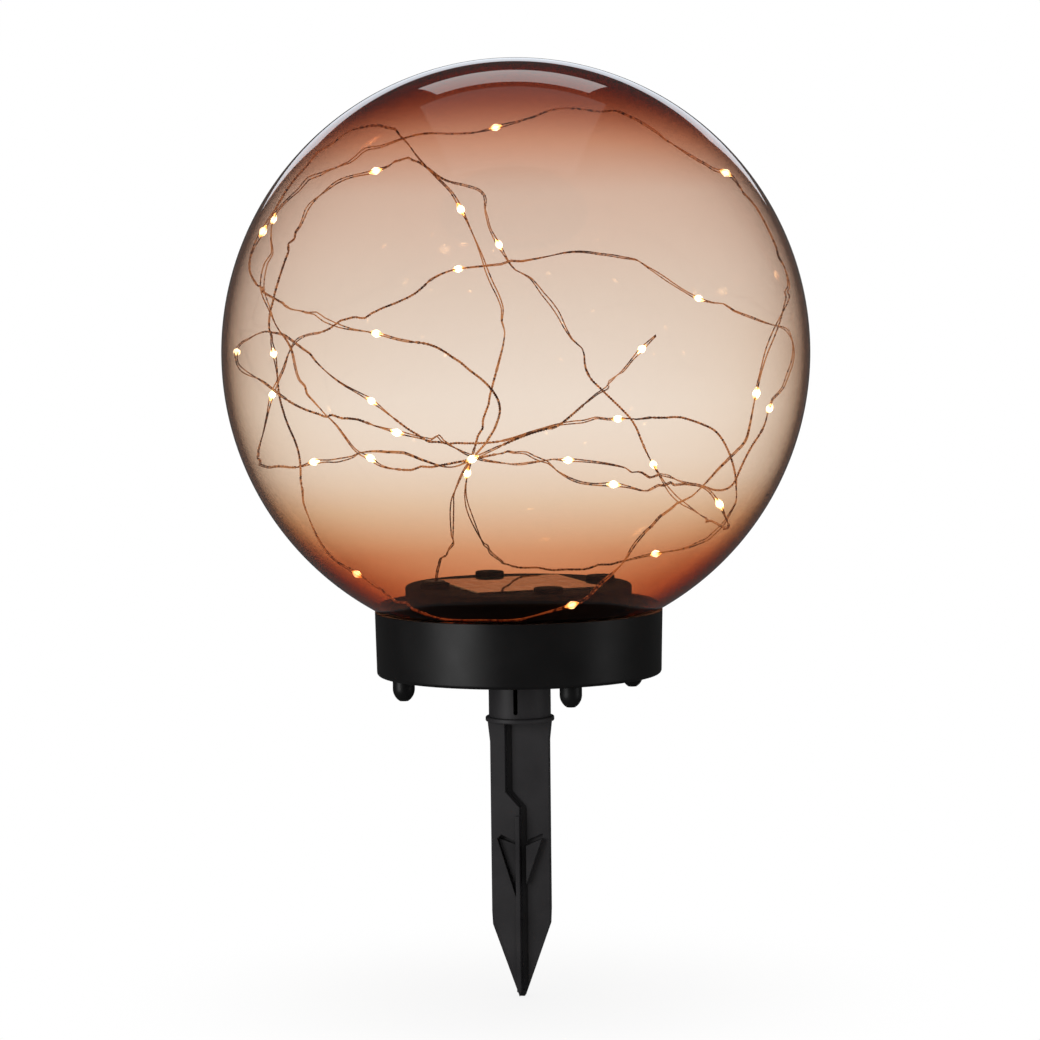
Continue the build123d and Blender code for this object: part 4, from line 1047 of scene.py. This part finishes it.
class GlobeStageSettings(PropertyGroup):
    floor_radius: FloatProperty(
        name="Floor radius", description="Half the width of the round floor",
        default=0.55, min=0.2, unit="LENGTH")
    room_level: level_setting(
        "Room light", "How bright the even light of the room is", 0.62)
    gloss_level: level_setting(
        "Room in gloss", "How bright the room looks in glossy surfaces", 0.07)
    overhead_level: level_setting(
        "Overhead box", "Brightness of the soft box above and behind the light", 1.4)
    rim_level: level_setting(
        "Rim strip", "Brightness of the cool strip that lights the ball's top edge", 1.4)
    side_level: level_setting(
        "Side box", "Brightness of the soft box at the front left", 5.0)


class GLOBE_OT_stage(Operator):
    """Sets the camera at the photograph's place, with a pale floor, soft boxes and a white background"""

    bl_idname = "globe_light.stage"
    bl_label = "Stage and Camera"

    def execute(self, context):
        scene = context.scene
        settings = scene.globe_stage
        data = bpy.data.cameras.new("photo_camera")
        data.sensor_width = SENSOR_WIDTH
        data.lens = VIEW_FOCAL / PHOTO_SIDE * SENSOR_WIDTH
        data.clip_start = 0.01
        data.clip_end = 50.0
        camera = placed("photo_camera", data)
        aim_camera(camera)
        scene.camera = camera
        scene.view_settings.view_transform = "Standard"
        scene.cycles.use_denoising = True
        scene.cycles.max_bounces = 24
        scene.cycles.transmission_bounces = 24
        scene.cycles.transparent_max_bounces = 24
        scene.cycles.glossy_bounces = 8
        make_world(settings.room_level, settings.gloss_level)
        make_floor(settings.floor_radius, settings.gloss_level)
        area_lamp(
            "overhead_box", place=(0, 0.73, GLOBE_CENTRE + 0.78), target=CENTRE,
            width=0.52, height=0.24, radiance=settings.overhead_level)
        area_lamp(
            "overhead_fill", place=(0, 0.15, GLOBE_CENTRE + 1.0), target=CENTRE,
            width=0.72, height=0.9, radiance=0.2 * settings.overhead_level)
        area_lamp(
            "rim_strip", place=(0, 1.5, GLOBE_CENTRE + GLOBE_RADIUS + 0.38),
            target=(0, 0, GLOBE_CENTRE + GLOBE_RADIUS), width=1.3, height=0.34,
            radiance=settings.rim_level, colour=(0.86, 0.92, 1.0))

        # The side boxes light the black parts alone, because the ball shows no windows at its sides.
        black_parts = bpy.data.collections.new("black_parts")
        for name in ("base_housing", "ground_stake", "battery_door", "door_screw", "switch_slider"):
            black_parts.objects.link(nodes[name])
        left = area_lamp(
            "left_box", place=(-1.03, -0.86, RIM + 0.1), target=(0, 0, RIM),
            width=0.62, height=0.9, radiance=settings.side_level)
        right = area_lamp(
            "right_box", place=(1.2, -0.4, RIM + 0.1), target=(0, 0, RIM),
            width=0.30, height=0.9, radiance=0.45 * settings.side_level)
        for lamp in (left, right):
            lamp.light_linking.receiver_collection = black_parts
        return {"FINISHED"}


class GLOBE_OT_light_string(Operator):
    """Lays the two copper strands, the glowing resin drops and their chips along the string's line"""

    bl_idname = "globe_light.light_string"
    bl_label = "Light String"

    def execute(self, context):
        settings = context.scene.globe_string
        route, lights = string_route()
        points = smooth_line(route)
        numbers = string_lights(points, route, lights)
        frames = frames_along(points)
        far, ahead, _ = frames
        strands = strand_paths(points, frames, [far[number] for number in numbers], settings)
        seats = []
        for number in numbers:
            turn = ahead[number].to_track_quat("Z", "Y").to_matrix().to_4x4()
            seats.append(Matrix.Translation(points[number]) @ turn)
        string = piece_from(
            "string_strands", tube_mesh("string_strands", strands, settings.strand_radius),
            copper_strand(), "head", "copper_wire", "string_wire")
        drops = piece_from(
            "resin_drops", drop_mesh(seats, settings), glowing_resin(),
            "head", "clear_bead", "led_beads")
        chips = piece_from(
            "light_chips", chip_mesh(seats), glowing_chip(), "head", "led_chip", "led_chips")
        return {"FINISHED"}


class GLOBE_OT_globe(Operator):
    """Makes the amber ball with its neck"""

    bl_idname = "globe_light.globe"
    bl_label = "Globe"

    def execute(self, context):
        settings = context.scene.globe_wall
        mesh = globe_shell(settings.wall)
        piece_from("globe_ball", mesh, amber_wall(settings), "head", "amber_globe", "globe")
        return {"FINISHED"}


class GLOBE_OT_base(Operator):
    """Gives the base, the deck and their seals and screws their finishes"""

    bl_idname = "globe_light.base"
    bl_label = "Base and Deck"

    def execute(self, context):
        satin = moulded_plastic(
            "satin_black", (0.0036, 0.0035, 0.0037), (0.0056, 0.0054, 0.0056), 0.42, 0.30, 0.35 * MM)
        finish_nodes(satin, "base_housing", "battery_door")
        matt = moulded_plastic(
            "matt_black", (0.0070, 0.0062, 0.0060), (0.0110, 0.0098, 0.0096), 0.82, 0.02, 0.3 * MM)
        finish_nodes(matt, "solar_deck", "screw_plugs")
        finish_nodes(rubber("black_seal", (0.010, 0.010, 0.010)), "globe_gasket", "door_seal", "wire_grommet")
        steel = metal("screw_steel", (0.46, 0.46, 0.47), (0.68, 0.68, 0.69), 0.30, 900.0)
        finish_nodes(steel, "deck_screws", "board_screws", "door_screw")
        return {"FINISHED"}


class GLOBE_OT_stake(Operator):
    """Gives the ground stake its finish"""

    bl_idname = "globe_light.stake"
    bl_label = "Ground Stake"

    def execute(self, context):
        black = moulded_plastic(
            "stake_black", (0.0190, 0.0178, 0.0194), (0.0300, 0.0284, 0.0306), 0.50, 0.32, 0.3 * MM)
        finish_nodes(black, "ground_stake")
        return {"FINISHED"}


class GLOBE_OT_panel(Operator):
    """Gives the solar panel its cells, clear cover, backing and pad"""

    bl_idname = "globe_light.panel"
    bl_label = "Solar Panel"

    def execute(self, context):
        finish_nodes(cell_silicon(), "solar_cells")
        finish_nodes(clear_plastic(), "panel_cover")
        finish_nodes(solder_mask(), "panel_backing", "circuit_board")
        foam = grained(
            "foam_pad", 1500.0, (0.55, 0.54, 0.51), (0.78, 0.77, 0.74), 0.85, 0.6, 0.05 * MM)
        finish_nodes(foam, "panel_adhesive")
        return {"FINISHED"}


class GLOBE_OT_inner_parts(Operator):
    """Gives the battery, the switch, the board's parts and the leads their finishes"""

    bl_idname = "globe_light.inner_parts"
    bl_label = "Inner Parts"

    def execute(self, context):
        finish_nodes(cell_wrap(), "battery_cell")
        plated = metal("contact_plate", (0.48, 0.46, 0.42), (0.66, 0.63, 0.58), 0.28, 700.0, 6.0)
        finish_nodes(plated, "battery_contact", "battery_spring")
        casing = grained(
            "part_casing", 2200.0, (0.012, 0.012, 0.013), (0.030, 0.030, 0.032), 0.45, 0.5,
            0.03 * MM, 0.1 * MM)
        finish_nodes(casing, "switch_body", "driver_chip", "inductor", "capacitor")
        knob = moulded_plastic(
            "knob_plastic", (0.30, 0.30, 0.30), (0.38, 0.38, 0.38), 0.45, 0.4, 0.2 * MM)
        finish_nodes(knob, "switch_slider")
        finish_nodes(rubber("lead_sleeve", (0.20, 0.012, 0.010)), "panel_leads", "battery_leads")
        finish_nodes(rubber("dark_sleeve", (0.012, 0.012, 0.013)), "switch_leads", "string_lead")
        return {"FINISHED"}


class GLOBE_PT_light(Panel):
    bl_idname = "GLOBE_PT_light"
    bl_label = "Solar Globe Light"
    bl_space_type = "VIEW_3D"
    bl_region_type = "UI"
    bl_category = "Globe Light"

    def draw(self, context):
        groups = (context.scene.globe_stage, context.scene.globe_string, context.scene.globe_wall)
        for group in groups:
            box = self.layout.box()
            for name in group.__annotations__:
                box.prop(group, name)
        for operator in OPERATORS:
            self.layout.operator(operator.bl_idname)


OPERATORS = (
    GLOBE_OT_stage,
    GLOBE_OT_light_string,
    GLOBE_OT_globe,
    GLOBE_OT_base,
    GLOBE_OT_stake,
    GLOBE_OT_panel,
    GLOBE_OT_inner_parts,
)
CLASSES = (GlobeStringSettings, GlobeWallSettings, GlobeStageSettings, *OPERATORS, GLOBE_PT_light)


def register():
    for entry in CLASSES:
        bpy.utils.register_class(entry)
    bpy.types.Scene.globe_string = PointerProperty(type=GlobeStringSettings)
    bpy.types.Scene.globe_wall = PointerProperty(type=GlobeWallSettings)
    bpy.types.Scene.globe_stage = PointerProperty(type=GlobeStageSettings)


def unregister():
    del bpy.types.Scene.globe_string
    del bpy.types.Scene.globe_wall
    del bpy.types.Scene.globe_stage
    for entry in reversed(CLASSES):
        bpy.utils.unregister_class(entry)


def main():
    register()
    bpy.ops.globe_light.stage()
    bpy.ops.globe_light.light_string()
    bpy.ops.globe_light.globe()
    bpy.ops.globe_light.base()
    bpy.ops.globe_light.stake()
    bpy.ops.globe_light.panel()
    bpy.ops.globe_light.inner_parts()


if __name__ == "__main__":
    main()
